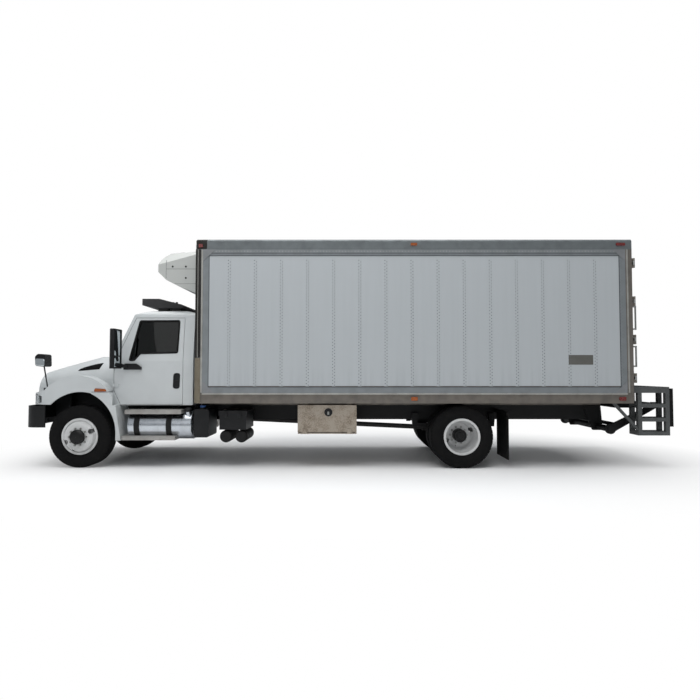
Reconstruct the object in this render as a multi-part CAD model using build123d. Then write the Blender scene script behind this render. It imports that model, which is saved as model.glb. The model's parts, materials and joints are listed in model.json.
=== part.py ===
from build123d import *
import os
from math import cos, radians, sin, sqrt

# A hooded straight truck with a refrigerated box, in millimetres.
# +X is forward, +Y is the driver's left, +Z is up, and the ground is Z = 0.
# The origin is on the ground under the middle of the truck.

# Overall layout
WHEELBASE = 6452
FRONT_OVERHANG = 1016
AXLE_TO_BOX = 1985
BOX_LENGTH = 7315
BOX_WIDTH = 2590
BOX_TOP_Z = 3847
BOX_BOTTOM_Z = 1092
REAR_REACH = 672
SEAT_GAP = 0.3
MOVE_GAP = 6

TRUCK_LENGTH = FRONT_OVERHANG + AXLE_TO_BOX + BOX_LENGTH + REAR_REACH
FRONT_X = TRUCK_LENGTH / 2
REAR_X = -TRUCK_LENGTH / 2
FRONT_AXLE_X = FRONT_X - FRONT_OVERHANG
REAR_AXLE_X = FRONT_AXLE_X - WHEELBASE
BOX_FRONT_X = FRONT_AXLE_X - AXLE_TO_BOX
BOX_REAR_X = BOX_FRONT_X - BOX_LENGTH
BOX_HALF = BOX_WIDTH / 2

# Wheels and tyres
TYRE_RADIUS = 526
TYRE_WIDTH = 279
TREAD_WIDTH = 214
RIM_SEAT_RADIUS = 286
RIM_FLANGE_RADIUS = 307
RIM_WIDTH = 210
RIM_WALL = 16
FLANGE_THICKNESS = 12
DISC_THICKNESS = 12
DUAL_SPACING = 343
HAND_HOLE_RADIUS = 42
HAND_HOLE_PITCH_RADIUS = 226
FRONT_TYRE_Y = 1025
REAR_HUB_Y = 909
FRONT_HUB_RADIUS = 119
REAR_HUB_RADIUS = 109
SPINDLE_RADIUS = 40
AXLE_TUBE_RADIUS = 62
DRUM_RADIUS = 208
AXLE_Z = TYRE_RADIUS

# Steering
KINGPIN_Y = 900
KINGPIN_RADIUS = 26
KINGPIN_EYE_RADIUS = 50
KINGPIN_EYE_HALF = 62
KNUCKLE_EAR = 46
KNUCKLE_PLATE = 22

# Ladder frame
RAIL_OUTER_Y = 432
RAIL_HEIGHT = 262
RAIL_FLANGE = 80
RAIL_WEB = 10
RAIL_TOP_Z = 1010
RAIL_FRONT_REACH = 770
CROSS_MEMBER_WIDTH = 90
CROSS_MEMBER_HEIGHT = 200
SPLASH_FRONT = 760
SPLASH_REAR = -440
SPLASH_TOP_Z = 1290
SPLASH_THICKNESS = 8

# Springs: a table of (axle x, seat height, spring y, half length, rise to the eyes)
PINION_REACH = 350
SPRING_THICKNESS = 84
SPRING_WIDTH = 90
FRONT_SPRING_Y = 470
REAR_SPRING_Y = 478
FRONT_SEAT_Z = 462
REAR_SEAT_Z = AXLE_Z + AXLE_TUBE_RADIUS
SPRINGS = (
    (FRONT_AXLE_X, FRONT_SEAT_Z, FRONT_SPRING_Y - 8, 620, 150),
    (REAR_AXLE_X, REAR_SEAT_Z, REAR_SPRING_Y, 700, 60),
)
CROSS_MEMBER_XS = (FRONT_AXLE_X + 540, BOX_FRONT_X - 500, BOX_FRONT_X - 1900, REAR_AXLE_X + 900,
                   REAR_AXLE_X - 900, BOX_REAR_X + 300)

# Cab, measured from the front axle: x is forward of the axle
CAB_HALF = 1030
CAB_FRONT = -500
CAB_BACK = -1868
CAB_FLOOR_Z = 1048
CAB_CORNER = 116
CAB_CORNER_Z = 1283
COWL_Z = 1870
ROOF_FRONT = -815
ROOF_FRONT_Z = 2620
ROOF_CROWN_Z = 2712
ROOF_REAR_Z = 2650
BELT_Z = 1800
CANT_HALF = 940
CANT_Z = 2560
CAB_WALL = 50
DOOR_REAR = -1690
DOOR_FLOOR_Z = CAB_FLOOR_Z + 14
DOOR_TOP_Z = CANT_Z - 5
DOOR_POST = 60
DOOR_WAIST_Z = 1880
GLASS_THICKNESS = 8
GLASS_INSET = 12
WINDOW_ROUND = 40
CUP_ROUND = 46
CAB_MOUNT_SIZE = 130
HINGE_X = CAB_FRONT - 4
HINGE_Y = CAB_HALF + 14
CAB_HINGE_ZS = (1390, 1700)
MIRROR_X = -660
MIRROR_IN_Y = 1150
MIRROR_OUT_Y = 1430
MIRROR_LOW_Z = 1673
MIRROR_HIGH_Z = 2332
WHEEL_X = -1015
WHEEL_Y = 480
WHEEL_Z = 1820
WHEEL_TILT = 50
WHEEL_RADIUS = 225
WHEEL_BOSS = 44
COLUMN_LENGTH = 220
SEAT_X = -1420
SEAT_Z = CAB_FLOOR_Z + CAB_WALL

# Hood and fenders, measured from the front axle
HOOD_REAR = -490
HOOD_NOSE = 930
HOOD_FLOOR_Z = 1085
HOOD_SKIN = 26
HOOD_CUT_Z = 990
HOOD_TOP_Z = 1888
NOSE_TOP_Z = 1622
FENDER_HALF = 1180
FENDER_IN_Y = 640
FENDER_CREST_Z = 1555
FENDER_FRONT = 900
FENDER_FLOOR_Z = 1066
LENS_DEPTH = 18
ARCH_RADIUS = 680
ARCH_X = -20
ARCH_Z = 600
ARCH_SPLIT_X = -193
FENDER_SPLIT_Z = 1282
HOOD_PIVOT_X = HOOD_NOSE
HOOD_PIVOT_Z = HOOD_FLOOR_Z - 30
HOOD_PIVOT_Y = 432
HOOD_PIN_RADIUS = 12
LAMP_IN_Y = FENDER_HALF - 360
LAMP_OUT_Y = FENDER_HALF - 10
MIRROR_STALK_Y = FENDER_HALF - 120
GRILLE_HALF = 500
GRILLE_LOW_Z = 1150
GRILLE_HIGH_Z = 1530
GRILLE_BARS = 7

# Hood sections: x, half width at the foot, side height, shoulder half and height, top half and height
HOOD_SECTIONS = (
    (HOOD_REAR - 60, 930, 1500, 760, 1800, 600, HOOD_TOP_Z + 4),
    (-120, 930, 1500, 760, 1800, 600, HOOD_TOP_Z + 4),
    (HOOD_NOSE + 20, 800, 1320, 690, 1540, 540, NOSE_TOP_Z - 8),
)

# Fender extension behind the wheel, carried by the cab's toe corner
EXTENSION_IN_Y = 720
EXTENSION_LOW_Z = 463
EXTENSION_FRONT = -622
EXTENSION_REAR = -705
DOOR_SWING_SLOPE = 0.364

# Bumper
BUMPER_LOW_Z = 682
BUMPER_HIGH_Z = 1045
BUMPER_PROUD = 6
BUMPER_HALF = FENDER_HALF + BUMPER_PROUD
BUMPER_CORNER = 930
BUMPER_CORNER_Y = BUMPER_HALF - 136
BUMPER_BEND = 850
BUMPER_SIDE = 720
BUMPER_END = 566
BUMPER_WALL = 20

# Engine, gearbox and drive shaft
ENGINE_FRONT = 440
ENGINE_REAR = -440
ENGINE_HALF = 300
ENGINE_LOW_Z = 690
ENGINE_TOP_Z = 1430
GEARBOX_REAR = -1350
GEARBOX_HALF = 210
GEARBOX_TOP_Z = 985
SHAFT_RADIUS = 45
SHAFT_FRONT_Z = 780
ENGINE_MOUNT_Z = 860

# Fuel tank with its brackets and the cab steps on them, measured from the front axle
TANK_FRONT = -775
TANK_REAR = -1880
TANK_RADIUS = 240
TANK_Y = 880
TANK_Z = 700
STRAP_WIDTH = 92
STRAP_THICKNESS = 8
STRAP_XS = (-945, -1490)
STEP_OUT_Y = 1150
STEP_THICKNESS = 66
UPPER_STEP = (-762, -1710, 906)
LOWER_STEP = (-714, -1612, 466)

# Tanks and boxes along the left rail: front x, rear x, inner y, outer y, low z, high z
DEF_TANK = (FRONT_AXLE_X - 1923, FRONT_AXLE_X - 2178, 640, 1130, 508, 985)
BATTERY_BOX = (FRONT_AXLE_X - 2348, FRONT_AXLE_X - 2826, 520, 1150, 640, 960)
AIR_TANK_XS = (FRONT_AXLE_X - 2461, FRONT_AXLE_X - 2724)
AIR_TANK_RADIUS = 105
AIR_TANK_Z = 522

# Toolbox: front x, rear x, inner y, outer y, low z, high z
TOOLBOX = (REAR_AXLE_X + 2761, REAR_AXLE_X + 1771, 700, 1200, 575, 1060)
TOOLBOX_WALL = 20
TOOLBOX_DOOR = 24
TOOLBOX_PIVOT_Z = TOOLBOX[4] + 14
TOOLBOX_PIVOT_Y = TOOLBOX[3] + 8

# Roof unit, measured from the front axle
ROOF_UNIT_FRONT = -800
ROOF_UNIT_REAR = -1560
ROOF_UNIT_HALF = 620
ROOF_UNIT_LOW_Z = 2775
ROOF_UNIT_TOP_Z = 2945

# Box body
FLOOR_TOP_Z = 1383
DECK_THICKNESS = 150
SILL_PITCH = 610
SILL_WIDTH = 76
RAIL_DEPTH = 96
RAIL_RELIEF = 12
FLOOR_BOARD = 6
LEDGE_LOW_Z = 1225
LEDGE_HIGH_Z = 1262
PANEL_INSET = 8
SIDE_WALL = 80
FRONT_WALL = 90
REAR_FRAME_DEPTH = 110
TOP_RAIL_HEIGHT = 172
TOP_RAIL_Z = BOX_TOP_Z - TOP_RAIL_HEIGHT
ROOF_PANEL = 100
ROOF_CORNER = 116
POST_WIDTH = 95
HEADER_HEIGHT = 115
DOOR_THICKNESS = 90
DOOR_SILL = 16

# Rear doors and their hinges
REAR_HINGE_X = BOX_REAR_X - 30
REAR_HINGE_Y = BOX_HALF + 4
REAR_HINGE_RADIUS = 16
REAR_PIN_RADIUS = 8
REAR_HINGE_HALF = 34
REAR_HINGES = 4
REAR_HINGE_MARGIN = 110
REAR_DOOR_LOW_Z = FLOOR_TOP_Z + DOOR_SILL + MOVE_GAP
REAR_DOOR_HIGH_Z = TOP_RAIL_Z - HEADER_HEIGHT - MOVE_GAP
REAR_DOOR_EDGE = BOX_HALF - POST_WIDTH - MOVE_GAP
REAR_HINGE_PITCH = (REAR_DOOR_HIGH_Z - REAR_DOOR_LOW_Z - 2 * REAR_HINGE_MARGIN) / (REAR_HINGES - 1)
REAR_HINGE_ZS = [REAR_DOOR_LOW_Z + REAR_HINGE_MARGIN + REAR_HINGE_PITCH * row for row in range(REAR_HINGES)]
LOCK_ROD_YS = (300, 860)
GRAB_Y = 1160
GRAB_STAND = 122
GRAB_HANDLES = ((REAR_DOOR_LOW_Z + 295, REAR_DOOR_LOW_Z + 655), (REAR_DOOR_LOW_Z + 925, REAR_DOOR_LOW_Z + 1335))

# Refrigeration unit, measured forward from the front wall
UNIT_HALF = 1000
UNIT_REACH = 749
UNIT_TOP_Z = BOX_TOP_Z - 112
UNIT_FOOT_Z = UNIT_TOP_Z - 784
UNIT_BELLY_Z = UNIT_TOP_Z - 651
UNIT_CHIN_Z = UNIT_TOP_Z - 520
UNIT_LIP_Z = UNIT_TOP_Z - 380
UNIT_BROW_Z = UNIT_TOP_Z - 261
UNIT_BELLY = 330
UNIT_CHIN = 608
UNIT_BROW = 600
LOUVRES = 6
LOUVRE_PITCH = 40
LOUVRE_HALF = 560
INTAKES = 5
INTAKE_PITCH = 48
INTAKE_HALF = 700

# Rear bed extension, steps and lift
BED_TOP_Z = 1366
BED_EDGE = 100
BED_HALF = 1250
STEP_IN_Y = 985
STEP_ZS = (557, 788, 1022)
STEP_TREAD = 62
POST_SIZE = 66
STEP_SET_BACK = 84
BRACE_REACH = 275
BRACE_WIDTH = 56
BUMPER_BLOCK = 60
BUMPER_BLOCK_Z = (704, 1340)
LIFT_X = BOX_REAR_X + 188
LIFT_Z = 623
LIFT_TUBE_RADIUS = 55
LIFT_ARM_Y = 860
LIFT_ARM_WIDTH = 44
LIFT_ARM_REACH = 811
LIFT_ARM_RISE = 423
LIFT_PIN_RADIUS = 22
PLATFORM_HALF = 826
PLATFORM_DEPTH = 680

# Mud flaps and marker lamps
FLAP_X = REAR_AXLE_X - 771
FLAP_IN_Y = 620
FLAP_OUT_Y = 1240
FLAP_LOW_Z = 147
FLAP_HIGH_Z = 930

# Marker lamps on the left side: x, z, length, height
SIDE_LAMPS = (
    (BOX_FRONT_X - 80, BOX_TOP_Z - 112, 70, 60),
    (BOX_REAR_X + BOX_LENGTH / 2, BOX_TOP_Z - 87, 110, 46),
    (BOX_REAR_X + 190, BOX_TOP_Z - 87, 150, 46),
    (BOX_REAR_X + BOX_LENGTH / 2, BOX_BOTTOM_Z + 78, 110, 62),
    (BOX_REAR_X + 190, BOX_BOTTOM_Z + 78, 110, 62),
)


def slab(x0, x1, y0, y1, z0, z1):
    """A straight block between two opposite corners."""
    middle = Pos((x0 + x1) / 2, (y0 + y1) / 2, (z0 + z1) / 2)
    return middle * Box(abs(x1 - x0), abs(y1 - y0), abs(z1 - z0))


def outline(points, radius=0):
    """A closed flat outline of straight runs, its corners rounded where a radius is given."""
    shape = Polygon(*points, align=None)
    if radius:
        shape = fillet(shape.vertices(), radius)
    return shape


def across(shape, y0, y1):
    """A side outline of (x, z) pulled across the truck from y0 to y1."""
    return Pos(0, y1, 0) * extrude(Plane.XZ * shape, y1 - y0, dir=(0, -1, 0))


def along(shape, x0, x1):
    """A cross-section of (y, z) pulled along the truck from x0 to x1."""
    return Pos(x0, 0, 0) * extrude(Plane.YZ * shape, x1 - x0, dir=(1, 0, 0))


def upward(shape, z0, z1):
    """A plan outline of (x, y) raised from z0 to z1."""
    return Pos(0, 0, z0) * extrude(shape, z1 - z0, dir=(0, 0, 1))


def rod(start, end, radius):
    """A round bar between two points."""
    run = Vector(*end) - Vector(*start)
    bar = Cylinder(radius, run.length, align=(Align.CENTER, Align.CENTER, Align.MIN))
    return Plane(origin=start, z_dir=run) * bar


def barrel(x, z, radius, y0, y1):
    """A round bar lying across the truck."""
    return rod((x, y0, z), (x, y1, z), radius)


def upright(x, y, z0, z1, radius):
    """A round bar standing upright."""
    return rod((x, y, z0), (x, y, z1), radius)


def turned(points):
    """A ring or drum turned about the Y axis from an outline of (radius, y) points."""
    return revolve(Polygon(*points, align=None), Axis.Y)


def other_side(shape):
    """The same shape on the truck's other side."""
    return mirror(shape, about=Plane.XZ)


def both_sides(shape):
    """A shape and its twin on the other side, as one node."""
    return Compound(children=[*shape.solids(), *other_side(shape).solids()])


def group(*shapes):
    """Separate solids that share one node."""
    return Compound(children=[solid for shape in shapes for solid in shape.solids()])


def tyre():
    """One tyre about the Y axis: bead, bulging sidewalls, round shoulders and a flat tread band."""
    bore = RIM_SEAT_RADIUS + SEAT_GAP
    bead = RIM_WIDTH / 2 - SEAT_GAP
    lip = RIM_FLANGE_RADIUS + MOVE_GAP
    bulge = TYRE_WIDTH / 2
    tread = TREAD_WIDTH / 2
    bulge_radius = (lip + TYRE_RADIUS) / 2 - 8
    shoulder = TYRE_RADIUS - 20
    shoulder_y = tread + 15
    edge = Line((bore, -bead), (bore, bead))
    edge += Line((bore, bead), (lip, bead))
    edge += ThreePointArc((lip, bead), (bulge_radius, bulge), (shoulder, shoulder_y))
    edge += Line((shoulder, shoulder_y), (TYRE_RADIUS, tread))
    edge += Line((TYRE_RADIUS, tread), (TYRE_RADIUS, -tread))
    edge += Line((TYRE_RADIUS, -tread), (shoulder, -shoulder_y))
    edge += ThreePointArc((shoulder, -shoulder_y), (bulge_radius, -bulge), (lip, -bead))
    edge += Line((lip, -bead), (bore, -bead))
    return Rot(0, 90, 0) * revolve(make_face(edge), Axis.Y)


def rim(middle_y, disc_y, facing):
    """The channel of one wheel about middle_y and the dished disc that meets its hub at disc_y.

    facing is +1 where the disc's mounting face looks outward and -1 where it looks inward.
    """
    seat = RIM_SEAT_RADIUS
    inner = seat - RIM_WALL
    half = RIM_WIDTH / 2
    edge = half + FLANGE_THICKNESS
    flange = RIM_FLANGE_RADIUS
    channel = Polygon(
        (inner, middle_y - edge), (flange, middle_y - edge), (flange, middle_y - half), (seat, middle_y - half),
        (seat, middle_y + half), (flange, middle_y + half), (flange, middle_y + edge), (inner, middle_y + edge),
        align=None)
    back = disc_y - facing * DISC_THICKNESS
    root = disc_y - facing * 0.66 * abs(disc_y - middle_y)
    dish = Polygon(
        (REAR_HUB_RADIUS, disc_y), (212, disc_y), (244, disc_y - facing * 16), (seat - 1, root),
        (inner - 1, root - facing * 16), (222, back - facing * 14), (204, back), (REAR_HUB_RADIUS, back),
        align=None)
    ring = revolve(channel, Axis.Y) + revolve(dish, Axis.Y)
    low, high = sorted((disc_y - facing * 90, disc_y + facing * 20))
    for side in (-1, 1):
        x = side * HAND_HOLE_PITCH_RADIUS
        hole = rod((x, low, 0), (x, high, 0), HAND_HOLE_RADIUS)
        ring -= Rot(0, 24, 0) * hole
    return ring


def front_wheel():
    """A front wheel about the Y axis, outward along +Y, with its hub and brake drum."""
    face = DUAL_SPACING / 2
    bore = SPINDLE_RADIUS + SEAT_GAP
    hub = turned([(bore, -30), (DRUM_RADIUS, -30), (DRUM_RADIUS, 40), (150, 60), (150, face - DISC_THICKNESS),
                  (FRONT_HUB_RADIUS, face - DISC_THICKNESS), (FRONT_HUB_RADIUS, face + 36), (96, face + 62),
                  (70, face + 72), (0, face + 72), (0, face), (bore, face)])
    return rim(0, face, 1) + hub


def rear_wheels():
    """Twin rear wheels about the Y axis, meeting at y = 0, with the hub between and the drum inboard."""
    middle = DUAL_SPACING / 2
    bore = AXLE_TUBE_RADIUS + SEAT_GAP
    hub = turned([(bore, -230), (DRUM_RADIUS, -230), (DRUM_RADIUS, -60), (150, -40), (150, 0),
                  (REAR_HUB_RADIUS, 0), (REAR_HUB_RADIUS, 150), (96, 166), (62, 166), (56, 182), (0, 182),
                  (0, 120), (bore, 120)])
    return rim(middle, 0, -1) + rim(-middle, 0, 1) + hub


def at_wheel(shape, x, y):
    """A wheel piece put on its axle's end, turned to face outward on the right side."""
    facing = shape if y > 0 else Rot(0, 0, 180) * shape
    return Pos(x, y, AXLE_Z) * facing


def front_axle():
    """The dropped beam between the kingpin eyes."""
    end = KINGPIN_Y - 20
    beam = outline([(-end, 490), (-700, 478), (-560, 372), (560, 372), (700, 478), (end, 490),
                    (end, 562), (690, 562), (540, 462), (-540, 462), (-690, 562), (-end, 562)])
    body = along(beam, -48, 48)
    for side in (-1, 1):
        y = side * KINGPIN_Y
        body += rod((0, y, AXLE_Z - KINGPIN_EYE_HALF), (0, y, AXLE_Z + KINGPIN_EYE_HALF), KINGPIN_EYE_RADIUS)
        body -= rod((0, y, 0), (0, y, 2 * AXLE_Z), KINGPIN_RADIUS + 0.05)
    return Pos(FRONT_AXLE_X, 0, 0) * body


def knuckle(side):
    """A steering knuckle: kingpin, two ears round the axle's eye, plate, spindle and steering arm."""
    y = KINGPIN_Y
    ear_in = KINGPIN_EYE_HALF + 1
    ear_out = ear_in + KNUCKLE_EAR
    plate_y = y + KINGPIN_EYE_RADIUS + MOVE_GAP
    body = rod((0, y, AXLE_Z - ear_out), (0, y, AXLE_Z + ear_out), KINGPIN_RADIUS)
    for z0, z1 in ((AXLE_Z - ear_out, AXLE_Z - ear_in), (AXLE_Z + ear_in, AXLE_Z + ear_out)):
        body += rod((0, y, z0), (0, y, z1), KINGPIN_EYE_RADIUS)
        body += slab(-KINGPIN_EYE_RADIUS, KINGPIN_EYE_RADIUS, y, plate_y + 1, z0, z1)
    body += slab(-KINGPIN_EYE_RADIUS - 20, KINGPIN_EYE_RADIUS + 20, plate_y, plate_y + KNUCKLE_PLATE,
                 AXLE_Z - ear_out, AXLE_Z + ear_out)
    spindle_end = FRONT_TYRE_Y + DUAL_SPACING / 2 - 4
    body += barrel(0, AXLE_Z, SPINDLE_RADIUS, plate_y, spindle_end)
    arm = outline([(-30, y - 20), (-30, y + 30), (-300, y - 60), (-300, y - 110)])
    body += upward(arm, AXLE_Z - ear_out - 30, AXLE_Z - ear_out)
    body = Pos(FRONT_AXLE_X, 0, 0) * body
    return body if side > 0 else other_side(body)


def rear_axle():
    """The drive axle: round tubes into a bowl-shaped centre, and the pinion nose forward."""
    end = REAR_HUB_Y + 110
    tube = barrel(0, AXLE_Z, AXLE_TUBE_RADIUS, -end, end)
    bowl = turned([(0, -190), (120, -170), (205, -80), (205, 60), (150, 130), (0, 150)])
    nose = rod((0, 0, AXLE_Z), (PINION_REACH, 0, AXLE_Z + 28), 95)
    return Pos(REAR_AXLE_X, 0, 0) * (tube + Pos(0, 0, AXLE_Z) * bowl + nose)


def leaf_spring(x, seat, y, half, rise):
    """A bowed pack of leaves on its axle seat and the two hangers that take its eyes to the rail."""
    top = seat + SPRING_THICKNESS
    pack = ThreePointArc((-half, seat + rise), (0, seat), (half, seat + rise))
    pack += Line((half, seat + rise), (half, top + rise - 40))
    pack += ThreePointArc((half, top + rise - 40), (0, top), (-half, top + rise - 40))
    pack += Line((-half, top + rise - 40), (-half, seat + rise))
    body = across(make_face(pack), y - SPRING_WIDTH / 2, y + SPRING_WIDTH / 2)
    rail_bottom = RAIL_TOP_Z - RAIL_HEIGHT
    for end in (-half, half):
        eye_z = seat + rise + 20
        hanger = outline([(end - 38, eye_z - 40), (end + 38, eye_z - 40), (end + 60, rail_bottom + 120),
                          (end - 60, rail_bottom + 120)])
        body += across(hanger, RAIL_OUTER_Y, y + SPRING_WIDTH / 2 + 10)
    return Pos(x, 0, 0) * body


def frame():
    """Two channel rails joined by cross members."""
    bottom = RAIL_TOP_Z - RAIL_HEIGHT
    web = RAIL_OUTER_Y - RAIL_WEB
    lip = RAIL_OUTER_Y - RAIL_FLANGE
    channel = outline([(RAIL_OUTER_Y, bottom), (RAIL_OUTER_Y, RAIL_TOP_Z), (lip, RAIL_TOP_Z),
                       (lip, RAIL_TOP_Z - RAIL_WEB), (web, RAIL_TOP_Z - RAIL_WEB), (web, bottom + RAIL_WEB),
                       (lip, bottom + RAIL_WEB), (lip, bottom)])
    rail = along(channel, BOX_REAR_X + 120, FRONT_AXLE_X + RAIL_FRONT_REACH)
    body = rail + other_side(rail)
    top = RAIL_TOP_Z - 30
    for x in CROSS_MEMBER_XS:
        half = CROSS_MEMBER_WIDTH / 2
        body += slab(x - half, x + half, -web - 1, web + 1, top - CROSS_MEMBER_HEIGHT, top)
    panel = slab(SPLASH_REAR, SPLASH_FRONT, RAIL_OUTER_Y - SPLASH_THICKNESS, RAIL_OUTER_Y, RAIL_TOP_Z - 1,
                 SPLASH_TOP_Z)
    return body + at_front_axle(panel + other_side(panel))


def at_front_axle(shape):
    """A shape measured from the front axle, moved to its place on the truck."""
    return Pos(FRONT_AXLE_X, 0, 0) * shape


def screen_x(z):
    """How far forward the windscreen's plane stands at a height."""
    return CAB_FRONT + (z - COWL_Z) * (ROOF_FRONT - CAB_FRONT) / (ROOF_FRONT_Z - COWL_Z)


def cab_side():
    """The cab's side outline: chamfered toe corner, upright cowl, raked screen, crowned roof, upright back."""
    toe = CAB_FRONT - CAB_CORNER
    middle = (ROOF_FRONT + CAB_BACK) / 2
    edge = Line((toe, CAB_FLOOR_Z), (CAB_FRONT, CAB_CORNER_Z))
    edge += Line((CAB_FRONT, CAB_CORNER_Z), (CAB_FRONT, COWL_Z))
    edge += Line((CAB_FRONT, COWL_Z), (ROOF_FRONT, ROOF_FRONT_Z))
    edge += ThreePointArc((ROOF_FRONT, ROOF_FRONT_Z), (middle, ROOF_CROWN_Z), (CAB_BACK, ROOF_REAR_Z))
    edge += Line((CAB_BACK, ROOF_REAR_Z), (CAB_BACK, CAB_FLOOR_Z))
    edge += Line((CAB_BACK, CAB_FLOOR_Z), (toe, CAB_FLOOR_Z))
    return make_face(edge)


def cab_front():
    """The cab's front outline: upright sides, leaning glass line, rounded cant rails and a crowned roof."""
    shoulder = CANT_HALF - 140
    shoulder_z = ROOF_CROWN_Z - 22
    bend = (CANT_HALF - 36, CANT_Z + 94)
    edge = Line((-CAB_HALF, CAB_FLOOR_Z), (CAB_HALF, CAB_FLOOR_Z))
    edge += Line((CAB_HALF, CAB_FLOOR_Z), (CAB_HALF, BELT_Z))
    edge += Line((CAB_HALF, BELT_Z), (CANT_HALF, CANT_Z))
    edge += ThreePointArc((CANT_HALF, CANT_Z), bend, (shoulder, shoulder_z))
    edge += ThreePointArc((shoulder, shoulder_z), (0, ROOF_CROWN_Z), (-shoulder, shoulder_z))
    edge += ThreePointArc((-shoulder, shoulder_z), (-bend[0], bend[1]), (-CANT_HALF, CANT_Z))
    edge += Line((-CANT_HALF, CANT_Z), (-CAB_HALF, BELT_Z))
    edge += Line((-CAB_HALF, BELT_Z), (-CAB_HALF, CAB_FLOOR_Z))
    return make_face(edge)


def cab_form(inset):
    """The cab's whole form, drawn in from its outer skin by inset on every side."""
    side = cab_side()
    front = cab_front()
    if inset:
        side = offset(side, -inset)
        front = offset(front, -inset)
    return across(side, -CAB_HALF, CAB_HALF) & along(front, CAB_BACK, CAB_FRONT)


def door_zone(grow=0):
    """The space of the left door: a deep upper frame, and a lower panel as thick as the door."""
    toe = CAB_FRONT - CAB_CORNER - 14
    front = CAB_FRONT - 12
    lower = outline([(toe, DOOR_FLOOR_Z), (front, CAB_CORNER_Z + 22), (front, BELT_Z - 10),
                     (screen_x(DOOR_WAIST_Z) - DOOR_POST, DOOR_WAIST_Z), (DOOR_REAR, DOOR_WAIST_Z),
                     (DOOR_REAR, DOOR_FLOOR_Z)])
    upper = outline([(screen_x(DOOR_WAIST_Z) - DOOR_POST, DOOR_WAIST_Z),
                     (screen_x(DOOR_TOP_Z) - DOOR_POST, DOOR_TOP_Z),
                     (DOOR_REAR, DOOR_TOP_Z), (DOOR_REAR, DOOR_WAIST_Z)])
    if grow:
        lower = offset(lower, grow)
        upper = offset(upper, grow)
    skin = CAB_HALF - CAB_WALL
    return across(lower, skin - 14 - grow, CAB_HALF + 10) + across(upper, CANT_HALF - 240 - grow, CAB_HALF + 10)


def window(shrink=0):
    """The left door's window, with the step down in its sill towards the front."""
    low = BELT_Z + 15
    sill = BELT_Z + 135
    pane = outline([(-765, low), (-850, low), (-950, sill), (-1590, sill + 15), (-1602, DOOR_TOP_Z - 48),
                    (-915, DOOR_TOP_Z - 52)], WINDOW_ROUND)
    if shrink:
        pane = offset(pane, -shrink)
    return across(pane, CANT_HALF - 200, CAB_HALF + 10)


def screen(shrink=0):
    """The windscreen's outline, looking along the truck."""
    low = COWL_Z + 55
    high = ROOF_FRONT_Z - 70
    pane = outline([(-880, low), (880, low), (815, high), (-815, high)], 60)
    if shrink:
        pane = offset(pane, -shrink)
    return along(pane, ROOF_FRONT - 90, CAB_FRONT + 40)


CAB_SKIN = cab_form(0)
CAB_HOLLOW = cab_form(CAB_WALL)


def cab_shell():
    """The hollow cab with its door and screen openings, on four mounts over the rails."""
    shell = CAB_SKIN - CAB_HOLLOW
    opening = door_zone(MOVE_GAP)
    shell = shell - opening - other_side(opening) - screen()
    half = CAB_MOUNT_SIZE / 2
    for x in (CAB_FRONT - 260, CAB_BACK + 120):
        for y in (-RAIL_OUTER_Y + half, RAIL_OUTER_Y - half):
            shell += slab(x - half, x + half, y - half, y + half, RAIL_TOP_Z, CAB_FLOOR_Z + 1)
    return at_front_axle(shell)


def windscreen():
    """The screen's curved pane, set into its opening."""
    pane = cab_form(GLASS_INSET) - cab_form(GLASS_INSET + GLASS_THICKNESS)
    return at_front_axle(pane & screen(SEAT_GAP))


def cab_door(side):
    """A cab door with its window cut out, its pull recess and two hinge knuckles at its front edge."""
    door = (CAB_SKIN - CAB_HOLLOW) & door_zone()
    door -= window()
    recess = outline([(-1520, 1325), (-1640, 1325), (-1650, 1600), (-1530, 1600)], CUP_ROUND)
    door -= across(recess, CAB_HALF - 22, CAB_HALF + 10)
    for z in CAB_HINGE_ZS:
        door += slab(HINGE_X - 90, HINGE_X - 14, CAB_HALF - 2, HINGE_Y + 6, z - 24, z + 24)
        door += slab(HINGE_X - 20, HINGE_X, CAB_HALF + 1, HINGE_Y + 6, z - 24, z + 24)
        door += rod((HINGE_X, HINGE_Y, z - 24), (HINGE_X, HINGE_Y, z + 24), 13)
        door -= rod((HINGE_X, HINGE_Y, z - 60), (HINGE_X, HINGE_Y, z + 60), 6.05)
    door = at_front_axle(door)
    return door if side > 0 else other_side(door)


def cab_hinges():
    """The cab's halves of its door hinges: an arm from the cowl side and the pin in the door's knuckle."""
    arms = []
    for z in CAB_HINGE_ZS:
        arm = rod((HINGE_X, HINGE_Y, z - 46), (HINGE_X, HINGE_Y, z + 46), 6)
        for z0, z1 in ((z - 46, z - 25), (z + 25, z + 46)):
            arm += rod((HINGE_X, HINGE_Y, z0), (HINGE_X, HINGE_Y, z1), 13)
            arm += slab(HINGE_X - 8, CAB_FRONT, CAB_HALF, HINGE_Y, z0, z1)
        arms.append(at_front_axle(arm))
    return arms


def door_glass(side):
    """The pane in a cab door's window."""
    pane = cab_form(GLASS_INSET) - cab_form(GLASS_INSET + GLASS_THICKNESS)
    pane = at_front_axle(pane & window(SEAT_GAP))
    return pane if side > 0 else other_side(pane)


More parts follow.
